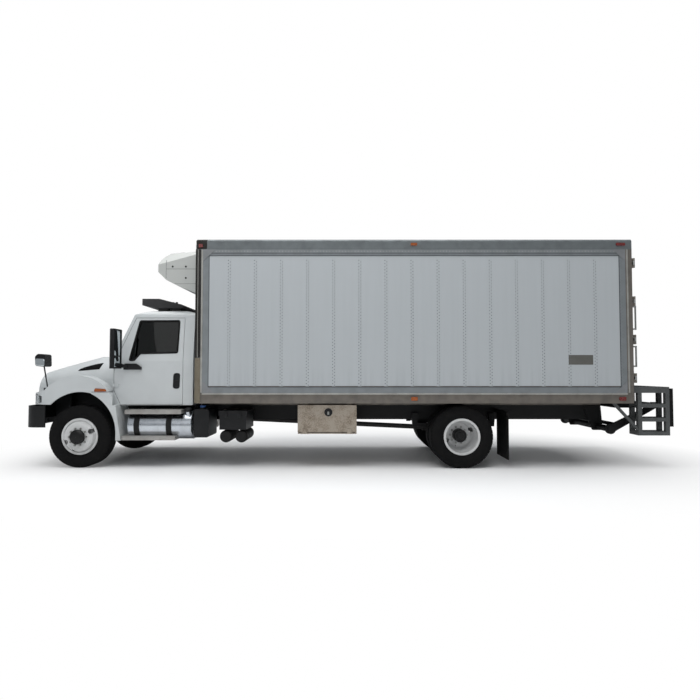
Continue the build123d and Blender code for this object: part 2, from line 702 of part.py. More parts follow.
def door_mirror(side):
    """A tall mirror head on an arm that is bolted to the door below its window."""
    shell = outline([(MIRROR_X - 40, MIRROR_IN_Y), (MIRROR_X + 20, MIRROR_IN_Y), (MIRROR_X + 70, 1220),
                     (MIRROR_X + 70, 1360), (MIRROR_X + 20, MIRROR_OUT_Y), (MIRROR_X - 40, MIRROR_OUT_Y)], 16)
    head = upward(shell, MIRROR_LOW_Z, MIRROR_HIGH_Z)
    head -= slab(MIRROR_X - 60, MIRROR_X - 26, MIRROR_IN_Y + 16, MIRROR_OUT_Y - 16, MIRROR_LOW_Z + 22,
                 MIRROR_HIGH_Z - 22)
    foot_y = CAB_HALF + SEAT_GAP
    foot = across(outline([(-680, 1655), (-985, 1655), (-985, 1700), (-900, 1760), (-700, 1760)], 14), foot_y,
                  foot_y + 34)
    arm = rod((-720, foot_y + 10, 1712), (MIRROR_X, MIRROR_IN_Y + 40, 1712), 24)
    brace = rod((-760, foot_y + 10, 1700), (MIRROR_X, MIRROR_IN_Y + 60, 1760), 18)
    mirror_body = at_front_axle(head + foot + arm + brace)
    return mirror_body if side > 0 else other_side(mirror_body)


def dashboard():
    """The dash across the cab behind the cowl, its instrument hood, and the steering column."""
    front = CAB_FRONT - CAB_WALL
    inner = CAB_HALF - CAB_WALL - 40
    profile = outline([(front, 1500), (front, 1850), (front - 160, 1850), (front - 330, 1800),
                       (front - 360, 1700), (front - 300, 1560), (front - 180, 1500)], 24)
    body = across(profile, -inner, inner)
    hood_line = outline([(front - 140, 1840), (front - 350, 1790), (front - 360, 1850), (front - 180, 1890)])
    body += across(hood_line, WHEEL_Y - 220, WHEEL_Y + 220)
    lean = Vector(-sin(radians(WHEEL_TILT)), 0, cos(radians(WHEEL_TILT)))
    column_end = Vector(WHEEL_X, WHEEL_Y, WHEEL_Z) - lean * (WHEEL_BOSS / 2 + SEAT_GAP)
    body += rod(tuple(column_end - lean * COLUMN_LENGTH), tuple(column_end), 45)
    return at_front_axle(body)


def steering_wheel():
    """A rim, three spokes and a boss, tilted on the column's end."""
    wheel = Torus(WHEEL_RADIUS, 17) + Cylinder(62, WHEEL_BOSS)
    for turn in (90, 210, 330):
        wheel += Rot(0, 0, turn) * slab(40, WHEEL_RADIUS, -20, 20, -8, 8)
    boss = Pos(WHEEL_X, WHEEL_Y, WHEEL_Z) * Rot(0, -WHEEL_TILT, 0)
    return at_front_axle(boss * wheel)


def seat(y):
    """A seat on its base box: cushion, raked back and head rest in one padded form."""
    half = 250
    form = outline([(SEAT_X + 260, SEAT_Z + 330), (SEAT_X + 270, SEAT_Z + 440), (SEAT_X - 170, SEAT_Z + 420),
                    (SEAT_X - 300, SEAT_Z + 1120), (SEAT_X - 370, SEAT_Z + 1120),
                    (SEAT_X - 330, SEAT_Z + 330)], 30)
    body = across(form, y - half, y + half)
    base = outline([(SEAT_X + 180, SEAT_Z), (SEAT_X + 120, SEAT_Z + 331), (SEAT_X - 250, SEAT_Z + 331),
                    (SEAT_X - 290, SEAT_Z)])
    return at_front_axle(body + across(base, y - half + 60, y + half - 60))


def hood_side():
    """The hood's side outline: a level cowl, a long fall to the nose, and a nearly upright nose."""
    edge = Line((HOOD_REAR - 60, 1000), (HOOD_REAR - 60, HOOD_TOP_Z))
    edge += Line((HOOD_REAR - 60, HOOD_TOP_Z), (-120, HOOD_TOP_Z))
    edge += ThreePointArc((-120, HOOD_TOP_Z), (340, 1778), (830, NOSE_TOP_Z))
    edge += ThreePointArc((830, NOSE_TOP_Z), (885, 1594), (905, 1540))
    edge += Line((905, 1540), (HOOD_NOSE, HOOD_FLOOR_Z))
    edge += Line((HOOD_NOSE, HOOD_FLOOR_Z), (HOOD_NOSE, 1000))
    edge += Line((HOOD_NOSE, 1000), (HOOD_REAR - 60, 1000))
    return make_face(edge)


def hood_section(row, inset):
    """One cross-section of the hood's body, drawn in by inset."""
    x, foot, side_z, shoulder, shoulder_z, top, top_z = row
    foot -= inset
    shoulder -= inset
    shoulder_z -= inset / 2
    top -= inset / 2
    top_z -= inset
    edge = Line((foot, HOOD_CUT_Z), (foot, side_z))
    edge += ThreePointArc((foot, side_z), (shoulder, shoulder_z), (top, top_z))
    edge += Line((top, top_z), (-top, top_z))
    edge += ThreePointArc((-top, top_z), (-shoulder, shoulder_z), (-foot, side_z))
    edge += Line((-foot, side_z), (-foot, HOOD_CUT_Z))
    edge += Line((-foot, HOOD_CUT_Z), (foot, HOOD_CUT_Z))
    return Pos(x, 0, 0) * (Plane.YZ * make_face(edge))


def hood_body(inset):
    """The hood's long body between the fenders."""
    body = loft([hood_section(row, inset) for row in HOOD_SECTIONS], ruled=True)
    side = hood_side()
    if inset:
        side = offset(side, -inset)
    return body & across(side, -FENDER_HALF, FENDER_HALF)


def fender_side():
    """A fender's side outline above the arch: the crest over the wheel and the drop to the headlamp."""
    edge = Line((HOOD_REAR, 980), (HOOD_REAR, 1306))
    edge += ThreePointArc((HOOD_REAR, 1306), (52, FENDER_CREST_Z), (594, 1306))
    edge += Line((594, 1306), (FENDER_FRONT - 22, 1245))
    edge += Line((FENDER_FRONT - 22, 1245), (FENDER_FRONT, 980))
    edge += Line((FENDER_FRONT, 980), (HOOD_REAR, 980))
    return make_face(edge)


def fender_plan():
    """The left fender in plan, its front corner swept back round the headlamp."""
    edge = Line((HOOD_REAR - 40, 0), (HOOD_REAR - 40, FENDER_HALF))
    edge += Line((HOOD_REAR - 40, FENDER_HALF), (540, FENDER_HALF))
    edge += ThreePointArc((540, FENDER_HALF), (765, FENDER_HALF - 80), (FENDER_FRONT - 10, FENDER_HALF - 280))
    edge += Line((FENDER_FRONT - 10, FENDER_HALF - 280), (FENDER_FRONT + 20, 0))
    edge += Line((FENDER_FRONT + 20, 0), (HOOD_REAR - 40, 0))
    return make_face(edge)


def fender(inset):
    """The left fender's form, drawn in by inset."""
    side = fender_side()
    plan = fender_plan()
    if inset:
        side = offset(side, -inset)
        plan = offset(plan, -inset)
    return across(side, FENDER_IN_Y, FENDER_HALF + 5) & upward(plan, 900, 1700)


FENDER_SKIN = fender(0)


def lamp_zone(shrink=0):
    """The left headlamp's window in the fender's swept front corner."""
    zone = outline([(LAMP_IN_Y, 1100), (LAMP_OUT_Y, 1096), (LAMP_OUT_Y - 2, 1205), (LAMP_OUT_Y - 50, 1240),
                    (LAMP_IN_Y, 1240)], 14)
    if shrink:
        zone = offset(zone, -shrink)
    return along(zone, 640, FENDER_FRONT + 30)


def grille_zone(shrink=0):
    """The grille's opening in the nose, wider at the top."""
    low = GRILLE_HALF - 40
    zone = outline([(-low, GRILLE_LOW_Z), (low, GRILLE_LOW_Z), (GRILLE_HALF, GRILLE_HIGH_Z),
                    (-GRILLE_HALF, GRILLE_HIGH_Z)], 40)
    if shrink:
        zone = offset(zone, -shrink)
    return along(zone, 780, HOOD_NOSE + 30)


def hood():
    """The tilting hood: a hollow body and two hollow fenders over open wheel arches, on two hinge lugs."""
    hollow = fender(HOOD_SKIN)
    body = hood_body(0) + FENDER_SKIN + other_side(FENDER_SKIN)
    body = body - hood_body(HOOD_SKIN) - hollow - other_side(hollow)
    wide = FENDER_HALF + 40
    body -= barrel(ARCH_X, ARCH_Z, ARCH_RADIUS, -wide, wide)
    body -= slab(HOOD_REAR - 200, ARCH_SPLIT_X, -wide, wide, 900, FENDER_SPLIT_Z)
    body -= slab(HOOD_REAR - 200, HOOD_NOSE + 60, -wide, wide, 900, FENDER_FLOOR_Z)
    body -= slab(HOOD_NOSE - 200, HOOD_NOSE + 60, -FENDER_IN_Y, FENDER_IN_Y, 900, HOOD_FLOOR_Z)
    body -= slab(HOOD_REAR - 200, HOOD_REAR, -wide, wide, 900, HOOD_TOP_Z + 100)
    body = body - lamp_zone() - other_side(lamp_zone()) - grille_zone()
    lug_in = HOOD_PIVOT_Y + 24
    strap = outline([(HOOD_PIVOT_X - 20, HOOD_PIVOT_Z), (HOOD_PIVOT_X - 8, HOOD_FLOOR_Z + 20),
                     (HOOD_PIVOT_X - 40, HOOD_FLOOR_Z + 50), (HOOD_PIVOT_X - 60, HOOD_FLOOR_Z + 30)])
    lug = across(strap, lug_in, lug_in + 24)
    lug += barrel(HOOD_PIVOT_X, HOOD_PIVOT_Z, 20, lug_in, lug_in + 24)
    lug -= barrel(HOOD_PIVOT_X, HOOD_PIVOT_Z, HOOD_PIN_RADIUS + 0.05, lug_in - 5, lug_in + 30)
    return at_front_axle(body + lug + other_side(lug))


def hood_brackets():
    """Brackets on the rails' front ends with the pins that carry the hood."""
    plate = across(outline([(RAIL_FRONT_REACH - 75, RAIL_TOP_Z - 20), (RAIL_FRONT_REACH - 75, RAIL_TOP_Z - 240),
                            (RAIL_FRONT_REACH - 10, RAIL_TOP_Z - 240), (HOOD_PIVOT_X + 18, HOOD_PIVOT_Z - 14),
                            (HOOD_PIVOT_X + 8, HOOD_PIVOT_Z + 18), (HOOD_PIVOT_X - 14, HOOD_PIVOT_Z + 18)]),
                   HOOD_PIVOT_Y - 0.5, HOOD_PIVOT_Y + 16)
    pin = barrel(HOOD_PIVOT_X, HOOD_PIVOT_Z, HOOD_PIN_RADIUS, HOOD_PIVOT_Y, HOOD_PIVOT_Y + 50)
    return plate + pin


def grille():
    """The grille's plate, slotted into level bars, in the plane of the nose."""
    front = hood_body(0)
    plate = (front - Pos(-24, 0, 0) * front) & grille_zone(SEAT_GAP)
    pitch = (GRILLE_HIGH_Z - GRILLE_LOW_Z - 40) / GRILLE_BARS
    for row in range(GRILLE_BARS):
        z = GRILLE_LOW_Z + 30 + pitch * row
        half = GRILLE_HALF - 76 + 4 * row
        for y0, y1 in ((-half, -12), (12, half)):
            plate -= slab(780, HOOD_NOSE + 40, y0, y1, z, z + pitch * 0.52)
    return at_front_axle(plate)


def hood_lamps():
    """Headlamps in the fender corners and the amber side lamps low on the fenders."""
    lens = (FENDER_SKIN - fender(HOOD_SKIN + LENS_DEPTH)) & lamp_zone(SEAT_GAP)
    marker = outline([(-250, 1286), (-470, 1286), (-440, 1330), (-270, 1340)], 12)
    marker = across(marker, FENDER_HALF + SEAT_GAP, FENDER_HALF + 12)
    return at_front_axle(both_sides(lens + marker))


def hood_mirrors():
    """Small round-backed mirrors on slim stalks over the fenders."""
    base = (600, MIRROR_STALK_Y, 1300)
    top = (668, MIRROR_STALK_Y + 15, 1720)
    stalk = rod(base, top, 11)
    foot = upward(outline([(540, MIRROR_STALK_Y - 40), (660, MIRROR_STALK_Y - 40), (660, MIRROR_STALK_Y + 40),
                           (540, MIRROR_STALK_Y + 40)], 20), 1270, 1345) - FENDER_SKIN
    shell = outline([(590, 1700), (760, 1720), (770, 1880), (720, 1925), (600, 1915)], 36)
    head = across(shell, MIRROR_STALK_Y - 75, MIRROR_STALK_Y + 105)
    return at_front_axle(both_sides(stalk - FENDER_SKIN + foot + head))


def fender_extension():
    """The fixed guard behind the wheel, its front following the arch down to the step."""
    toe = CAB_FRONT - CAB_CORNER
    start_z = ARCH_Z + sqrt((ARCH_RADIUS - 6) ** 2 - (ARCH_SPLIT_X - ARCH_X) ** 2)
    gap_z = FENDER_SPLIT_Z - MOVE_GAP - 2
    edge = Line((ARCH_SPLIT_X, gap_z), (ARCH_SPLIT_X, start_z))
    edge += ThreePointArc((ARCH_SPLIT_X, start_z), (-490, 1004), (EXTENSION_FRONT, ARCH_Z))
    edge += Line((EXTENSION_FRONT, ARCH_Z), (EXTENSION_FRONT, EXTENSION_LOW_Z))
    edge += Line((EXTENSION_FRONT, EXTENSION_LOW_Z), (EXTENSION_REAR, EXTENSION_LOW_Z))
    edge += Line((EXTENSION_REAR, EXTENSION_LOW_Z), (toe, CAB_FLOOR_Z))
    rise = (gap_z - CAB_FLOOR_Z) / (CAB_CORNER_Z - CAB_FLOOR_Z)
    edge += Line((toe, CAB_FLOOR_Z), (toe + CAB_CORNER * rise, gap_z))
    edge += Line((toe + CAB_CORNER * rise, gap_z), (ARCH_SPLIT_X, gap_z))
    guard = across(make_face(edge), EXTENSION_IN_Y, FENDER_HALF)
    near = HINGE_X - 5
    far = near - (FENDER_HALF - CAB_HALF) * DOOR_SWING_SLOPE
    swing = outline([(near, CAB_HALF + 4), (far, FENDER_HALF + 4), (HINGE_X - 400, FENDER_HALF + 4),
                     (HINGE_X - 400, CAB_HALF + 4)])
    return at_front_axle(guard - upward(swing, DOOR_FLOOR_Z - MOVE_GAP - 1, CAB_CORNER_Z + 40))


def front_bumper():
    """A bowed bumper that wraps round to the wheels, bolted to the rails by two arms."""
    left = (BUMPER_CORNER, BUMPER_CORNER_Y)
    right = (BUMPER_CORNER, -BUMPER_CORNER_Y)
    edge = ThreePointArc(right, (FRONT_OVERHANG, 0), left)
    bend_y = BUMPER_HALF - 38
    edge += ThreePointArc(left, (BUMPER_BEND, bend_y), (BUMPER_SIDE, BUMPER_HALF))
    edge += Line((BUMPER_SIDE, BUMPER_HALF), (BUMPER_END, BUMPER_HALF))
    edge += Line((BUMPER_END, BUMPER_HALF), (BUMPER_END, -BUMPER_HALF))
    edge += Line((BUMPER_END, -BUMPER_HALF), (BUMPER_SIDE, -BUMPER_HALF))
    edge += ThreePointArc((BUMPER_SIDE, -BUMPER_HALF), (BUMPER_BEND, -bend_y), right)
    plan = make_face(edge)
    body = upward(plan, BUMPER_LOW_Z, BUMPER_HIGH_Z)
    hollow = offset(plan, -BUMPER_WALL) + Pos(-BUMPER_WALL * 2, 0) * offset(plan, -BUMPER_WALL)
    body -= upward(hollow, BUMPER_LOW_Z - 10, BUMPER_HIGH_Z + 10)
    body -= slab(600, FRONT_OVERHANG + 20, -300, 300, 760, 880)
    arm_y = RAIL_OUTER_Y - RAIL_WEB - 16
    arm = slab(RAIL_FRONT_REACH - 160, FRONT_OVERHANG - BUMPER_WALL - 8, arm_y - 14, arm_y + 16,
               RAIL_TOP_Z - 190, RAIL_TOP_Z - 60)
    beam = slab(RAIL_FRONT_REACH + 30, RAIL_FRONT_REACH + 120, -arm_y, arm_y,
                RAIL_TOP_Z - 240, RAIL_TOP_Z - 80)
    return at_front_axle(body + arm + other_side(arm) + beam)


def engine():
    """The engine and gearbox as plain blocks, on side mounts that rest against the rails."""
    block = across(outline([(ENGINE_REAR, ENGINE_LOW_Z), (ENGINE_FRONT, ENGINE_LOW_Z + 40),
                            (ENGINE_FRONT, ENGINE_TOP_Z - 120), (ENGINE_FRONT - 120, ENGINE_TOP_Z),
                            (ENGINE_REAR, ENGINE_TOP_Z)], 30), -ENGINE_HALF, ENGINE_HALF)
    block += across(outline([(ENGINE_REAR + 40, ENGINE_LOW_Z + 20), (GEARBOX_REAR, SHAFT_FRONT_Z - 90),
                             (GEARBOX_REAR, SHAFT_FRONT_Z + 100), (ENGINE_REAR + 40, GEARBOX_TOP_Z)]),
                    -GEARBOX_HALF, GEARBOX_HALF)
    web = RAIL_OUTER_Y - RAIL_WEB
    for x in (ENGINE_FRONT - 120, ENGINE_REAR + 120):
        block += slab(x - 60, x + 60, -web, web, ENGINE_MOUNT_Z, ENGINE_MOUNT_Z + 70)
    return at_front_axle(block)


def drive_shaft():
    """A long tube with thicker joints at both ends, from the gearbox to the axle's pinion."""
    start = Vector(FRONT_AXLE_X + GEARBOX_REAR, 0, SHAFT_FRONT_Z)
    end = Vector(REAR_AXLE_X + PINION_REACH, 0, AXLE_Z + 28)
    run = end - start
    shaft = rod(tuple(start), tuple(end), SHAFT_RADIUS)
    for share0, share1 in ((0.0, 0.03), (0.48, 0.52), (0.97, 1.0)):
        shaft += rod(tuple(start + run * share0), tuple(start + run * share1), SHAFT_RADIUS + 20)
    return shaft & slab(end.X + 8, start.X - SEAT_GAP, -200, 200, 0, 1200)


def fuel_tank():
    """A round tank with domed ends."""
    half = (TANK_FRONT - TANK_REAR) / 2
    edge = Line((0, -half), (TANK_RADIUS - 30, -half))
    edge += ThreePointArc((TANK_RADIUS - 30, -half), (TANK_RADIUS - 9, -half + 9), (TANK_RADIUS, -half + 30))
    edge += Line((TANK_RADIUS, -half + 30), (TANK_RADIUS, half - 30))
    edge += ThreePointArc((TANK_RADIUS, half - 30), (TANK_RADIUS - 9, half - 9), (TANK_RADIUS - 30, half))
    edge += Line((TANK_RADIUS - 30, half), (0, half))
    edge += Line((0, half), (0, -half))
    tank = Rot(0, 0, -90) * revolve(make_face(edge), Axis.Y)
    neck = rod((-470, 120, 170), (-470, 160, 262), 52)
    tank = Pos((TANK_FRONT + TANK_REAR) / 2, TANK_Y, TANK_Z) * (tank + neck)
    return at_front_axle(tank)


def tank_steps():
    """Bands round the tank on brackets from the rail, and the two grated steps that the bands carry."""
    body = None
    inner = TANK_RADIUS + SEAT_GAP
    outer = inner + STRAP_THICKNESS
    for x in STRAP_XS:
        x0 = x - STRAP_WIDTH / 2
        x1 = x + STRAP_WIDTH / 2
        band = rod((x0, TANK_Y, TANK_Z), (x1, TANK_Y, TANK_Z), outer)
        band += slab(x0, x1, RAIL_OUTER_Y, TANK_Y, TANK_Z - 120, RAIL_TOP_Z - 16)
        upper = UPPER_STEP[2]
        lower = LOWER_STEP[2]
        band += slab(x0, x1, TANK_Y + 40, STEP_OUT_Y - 30, lower + 4, lower + STEP_THICKNESS - 4)
        band += slab(x0, x1, TANK_Y + 40, STEP_OUT_Y - 30, upper + 4, upper + STEP_THICKNESS - 4)
        band -= rod((x0 - 5, TANK_Y, TANK_Z), (x1 + 5, TANK_Y, TANK_Z), inner)
        body = band if body is None else body + band
    for front, rear, z in (UPPER_STEP, LOWER_STEP):
        tread = slab(rear, front, STEP_OUT_Y - 200, STEP_OUT_Y, z, z + STEP_THICKNESS)
        tread -= slab(rear + 12, front - 12, STEP_OUT_Y - 188, STEP_OUT_Y - 12, z - 5, z + STEP_THICKNESS - 22)
        body += tread - rod((rear - 5, TANK_Y, TANK_Z), (front + 5, TANK_Y, TANK_Z), inner + 4)
    return at_front_axle(body)


def def_tank():
    """A moulded tank with rounded edges, a filler cap, and the bracket that hangs it on the rail."""
    front, rear, y0, y1, z0, z1 = DEF_TANK
    body = across(outline([(rear, z0), (front, z0), (front, z1), (rear, z1)], 40), y0, y1)
    body += rod(((front + rear) / 2, y1 - 90, z1 - 5), ((front + rear) / 2, y1 - 90, z1 + 46), 44)
    arm = slab(rear + 60, front - 60, RAIL_OUTER_Y, y0 + 1, RAIL_TOP_Z - 200, RAIL_TOP_Z - 60)
    return body + arm


def battery_box():
    """A lidded box with a lipped cover, on two arms from the rail."""
    front, rear, y0, y1, z0, z1 = BATTERY_BOX
    body = slab(rear + 12, front - 12, y0 + 12, y1 - 12, z0, z1 - 40)
    body += slab(rear, front, y0, y1, z1 - 80, z1)
    for x in (rear + 90, front - 90):
        body += slab(x - 30, x + 30, RAIL_OUTER_Y, y0 + 20, RAIL_TOP_Z - 170, RAIL_TOP_Z - 70)
    return body


def air_tanks():
    """Two air tanks lying across below the battery box, on short saddles."""
    tanks = []
    for x in AIR_TANK_XS:
        round_in = AIR_TANK_RADIUS - 40
        bend = AIR_TANK_RADIUS - 11
        edge = Line((0, -300), (round_in, -300))
        edge += ThreePointArc((round_in, -300), (bend, -288), (AIR_TANK_RADIUS, -260))
        edge += Line((AIR_TANK_RADIUS, -260), (AIR_TANK_RADIUS, 260))
        edge += ThreePointArc((AIR_TANK_RADIUS, 260), (bend, 288), (round_in, 300))
        edge += Line((round_in, 300), (0, 300))
        edge += Line((0, 300), (0, -300))
        tank = Pos(x, BATTERY_BOX[3] - 330, AIR_TANK_Z) * revolve(make_face(edge), Axis.Y)
        for y in (BATTERY_BOX[3] - 480, BATTERY_BOX[3] - 180):
            tank += slab(x - 50, x + 50, y - 20, y + 20, AIR_TANK_Z + 60, BATTERY_BOX[4])
        tanks.append(tank)
    return group(*tanks)


def toolbox():
    """The box with its open front, hung under the body on two hangers."""
    front, rear, y0, y1, z0, z1 = TOOLBOX
    wall = TOOLBOX_WALL
    face = y1 - TOOLBOX_DOOR - 3
    body = slab(rear, front, y0, face, z0, z1)
    body -= slab(rear + wall, front - wall, y0 + wall, y1, z0 + wall, z1 - wall)
    for x in (rear + 120, front - 120):
        body += slab(x - 40, x + 40, RAIL_OUTER_Y, y0 + 1, RAIL_TOP_Z - 180, RAIL_TOP_Z - 40)
        body += slab(x - 40, x + 40, y0 + 60, face - 60, z1 - 1, BOX_BOTTOM_Z)
        body += barrel_x(x - 60, x + 60, TOOLBOX_PIVOT_Y, TOOLBOX_PIVOT_Z, 6)
        for end in (x - 60, x + 40):
            body += slab(end, end + 20, face - 1, TOOLBOX_PIVOT_Y + 6,
                         TOOLBOX_PIVOT_Z - 12, TOOLBOX_PIVOT_Z - 2)
            body += barrel_x(end, end + 20, TOOLBOX_PIVOT_Y, TOOLBOX_PIVOT_Z, 12)
    return body


def barrel_x(x0, x1, y, z, radius):
    """A round bar lying along the truck."""
    return rod((x0, y, z), (x1, y, z), radius)


def toolbox_door():
    """The drop door, hinged along its foot, with its round latch."""
    front, rear, y0, y1, z0, z1 = TOOLBOX
    door = slab(rear, front, y1 - TOOLBOX_DOOR, y1, z0 + 34, z1)
    door += barrel((front + rear) / 2 - 20, z1 - 120, 68, y1 - 1, y1 + 14)
    for x in (rear + 120, front - 120):
        door += slab(x - 36, x + 36, y1 - 2, TOOLBOX_PIVOT_Y + 12, TOOLBOX_PIVOT_Z, z0 + 90)
        door += barrel_x(x - 36, x + 36, TOOLBOX_PIVOT_Y, TOOLBOX_PIVOT_Z, 12)
        door -= barrel_x(x - 70, x + 70, TOOLBOX_PIVOT_Y, TOOLBOX_PIVOT_Z, 6.05)
    return door


def roof_unit():
    """A low wedge with a ribbed top edge, on feet that stand on the cab's roof."""
    front, rear, low, top = ROOF_UNIT_FRONT, ROOF_UNIT_REAR, ROOF_UNIT_LOW_Z, ROOF_UNIT_TOP_Z
    edge = Line((front, top - 118), (front, top))
    edge += Line((front, top), (front - 310, top))
    edge += Line((front - 310, top), (rear + 80, top - 96))
    edge += ThreePointArc((rear + 80, top - 96), (rear + 20, top - 124), (rear, low))
    edge += Line((rear, low), (front - 270, low))
    edge += Line((front - 270, low), (front, top - 118))
    body = across(make_face(edge), -ROOF_UNIT_HALF, ROOF_UNIT_HALF)
    for row in range(5):
        x = front - 40 - 56 * row
        body -= slab(x - 28, x, -ROOF_UNIT_HALF + 60, ROOF_UNIT_HALF - 60, top - 14, top + 5)
    for x in (front - 330, rear + 200):
        for y in (-ROOF_UNIT_HALF + 120, ROOF_UNIT_HALF - 120):
            body += slab(x - 110, x + 60, y - 60, y + 60, 2600, low + 1)
    return at_front_axle(body - CAB_SKIN - Pos(0, 0, -60) * CAB_SKIN)


def box_floor():
    """The insulated deck with its side rails, cross sills and the two long sills that sit on the frame."""
    deck_low = FLOOR_TOP_Z - DECK_THICKNESS
    rail_in = BOX_HALF - RAIL_DEPTH
    lower = BOX_HALF - RAIL_RELIEF
    upper = BOX_HALF - PANEL_INSET - 1
    section = outline([(lower, BOX_BOTTOM_Z), (lower, LEDGE_LOW_Z), (BOX_HALF, LEDGE_LOW_Z),
                       (BOX_HALF, LEDGE_HIGH_Z), (upper, LEDGE_HIGH_Z + 4), (upper, FLOOR_TOP_Z),
                       (rail_in, FLOOR_TOP_Z), (rail_in, BOX_BOTTOM_Z)])
    rail = along(section, BOX_REAR_X, BOX_FRONT_X)
    body = slab(BOX_REAR_X, BOX_FRONT_X, -rail_in - 1, rail_in + 1, deck_low, FLOOR_TOP_Z)
    body = body + rail + other_side(rail)
    sills = int((BOX_LENGTH - SILL_WIDTH) / SILL_PITCH) + 1
    pitch = (BOX_LENGTH - SILL_WIDTH) / (sills - 1)
    for sill in range(sills):
        x = BOX_REAR_X + pitch * sill
        body += slab(x, x + SILL_WIDTH, -rail_in - 1, rail_in + 1, BOX_BOTTOM_Z, deck_low + 1)
    long_sill = slab(BOX_REAR_X + 120, BOX_FRONT_X, RAIL_OUTER_Y - RAIL_FLANGE, RAIL_OUTER_Y, RAIL_TOP_Z,
                     deck_low + 1)
    inner = BOX_HALF - PANEL_INSET - SIDE_WALL - SEAT_GAP
    board = slab(BOX_REAR_X + REAR_FRAME_DEPTH + SEAT_GAP, BOX_FRONT_X - FRONT_WALL - SEAT_GAP, -inner, inner,
                 FLOOR_TOP_Z - 1, FLOOR_TOP_Z + FLOOR_BOARD)
    return body + long_sill + other_side(long_sill) + board


def box_walls():
    """The two side walls between the front wall and the rear frame."""
    outer = BOX_HALF - PANEL_INSET
    wall = slab(BOX_REAR_X + REAR_FRAME_DEPTH, BOX_FRONT_X - FRONT_WALL, outer - SIDE_WALL, outer, FLOOR_TOP_Z,
                TOP_RAIL_Z)
    return both_sides(wall)


def box_front():
    """The front wall with its rounded corner posts standing proud of the side panels."""
    plan = outline([(BOX_FRONT_X - FRONT_WALL, -BOX_HALF), (BOX_FRONT_X, -BOX_HALF), (BOX_FRONT_X, BOX_HALF),
                    (BOX_FRONT_X - FRONT_WALL, BOX_HALF)])
    corners = plan.vertices().group_by(Axis.X)[-1]
    return upward(fillet(corners, 40), FLOOR_TOP_Z, TOP_RAIL_Z)


def box_roof():
    """The roof panel between its top rails, the front edge rounded down to the wall."""
    edge = Line((BOX_REAR_X, TOP_RAIL_Z), (BOX_REAR_X, BOX_TOP_Z))
    bend = BOX_FRONT_X - ROOF_CORNER
    edge += Line((BOX_REAR_X, BOX_TOP_Z), (bend, BOX_TOP_Z))
    edge += RadiusArc((bend, BOX_TOP_Z), (BOX_FRONT_X, BOX_TOP_Z - ROOF_CORNER), ROOF_CORNER)
    edge += Line((BOX_FRONT_X, BOX_TOP_Z - ROOF_CORNER), (BOX_FRONT_X, TOP_RAIL_Z))
    edge += Line((BOX_FRONT_X, TOP_RAIL_Z), (BOX_REAR_X, TOP_RAIL_Z))
    section = outline([(-BOX_HALF, TOP_RAIL_Z), (BOX_HALF, TOP_RAIL_Z), (BOX_HALF, BOX_TOP_Z - 30),
                       (BOX_HALF - 24, BOX_TOP_Z), (-BOX_HALF + 24, BOX_TOP_Z), (-BOX_HALF, BOX_TOP_Z - 30)])
    roof = across(make_face(edge), -BOX_HALF, BOX_HALF) & along(section, BOX_REAR_X, BOX_FRONT_X)
    inner = BOX_HALF - PANEL_INSET - SIDE_WALL
    return roof - slab(BOX_REAR_X + REAR_FRAME_DEPTH, BOX_FRONT_X - FRONT_WALL, -inner, inner, TOP_RAIL_Z - 5,
                       BOX_TOP_Z - ROOF_PANEL)


def rear_header():
    """The header over the rear doors and the sill under them, between the posts."""
    back = BOX_REAR_X + REAR_FRAME_DEPTH
    half = BOX_HALF - POST_WIDTH
    header = slab(BOX_REAR_X, back, -half, half, TOP_RAIL_Z - HEADER_HEIGHT, TOP_RAIL_Z)
    sill = slab(BOX_REAR_X, back, -half, half, FLOOR_TOP_Z, FLOOR_TOP_Z + DOOR_SILL)
    return group(header, sill)


def rear_posts():
    """The two rear posts, with the fixed halves and pins of the door hinges."""
    face = BOX_REAR_X
    post = slab(face, face + REAR_FRAME_DEPTH, BOX_HALF - POST_WIDTH, BOX_HALF, FLOOR_TOP_Z, TOP_RAIL_Z)
    for z in REAR_HINGE_ZS:
        lug = rod((REAR_HINGE_X, REAR_HINGE_Y, z - 80), (REAR_HINGE_X, REAR_HINGE_Y, z + 80), REAR_PIN_RADIUS)
        for z0, z1 in ((z - 80, z - REAR_HINGE_HALF - 1), (z + REAR_HINGE_HALF + 1, z + 80)):
            lug += rod((REAR_HINGE_X, REAR_HINGE_Y, z0), (REAR_HINGE_X, REAR_HINGE_Y, z1), REAR_HINGE_RADIUS)
            lug += slab(REAR_HINGE_X, face + 1, BOX_HALF - 34, BOX_HALF, z0, z1)
        post += lug
    return both_sides(post)


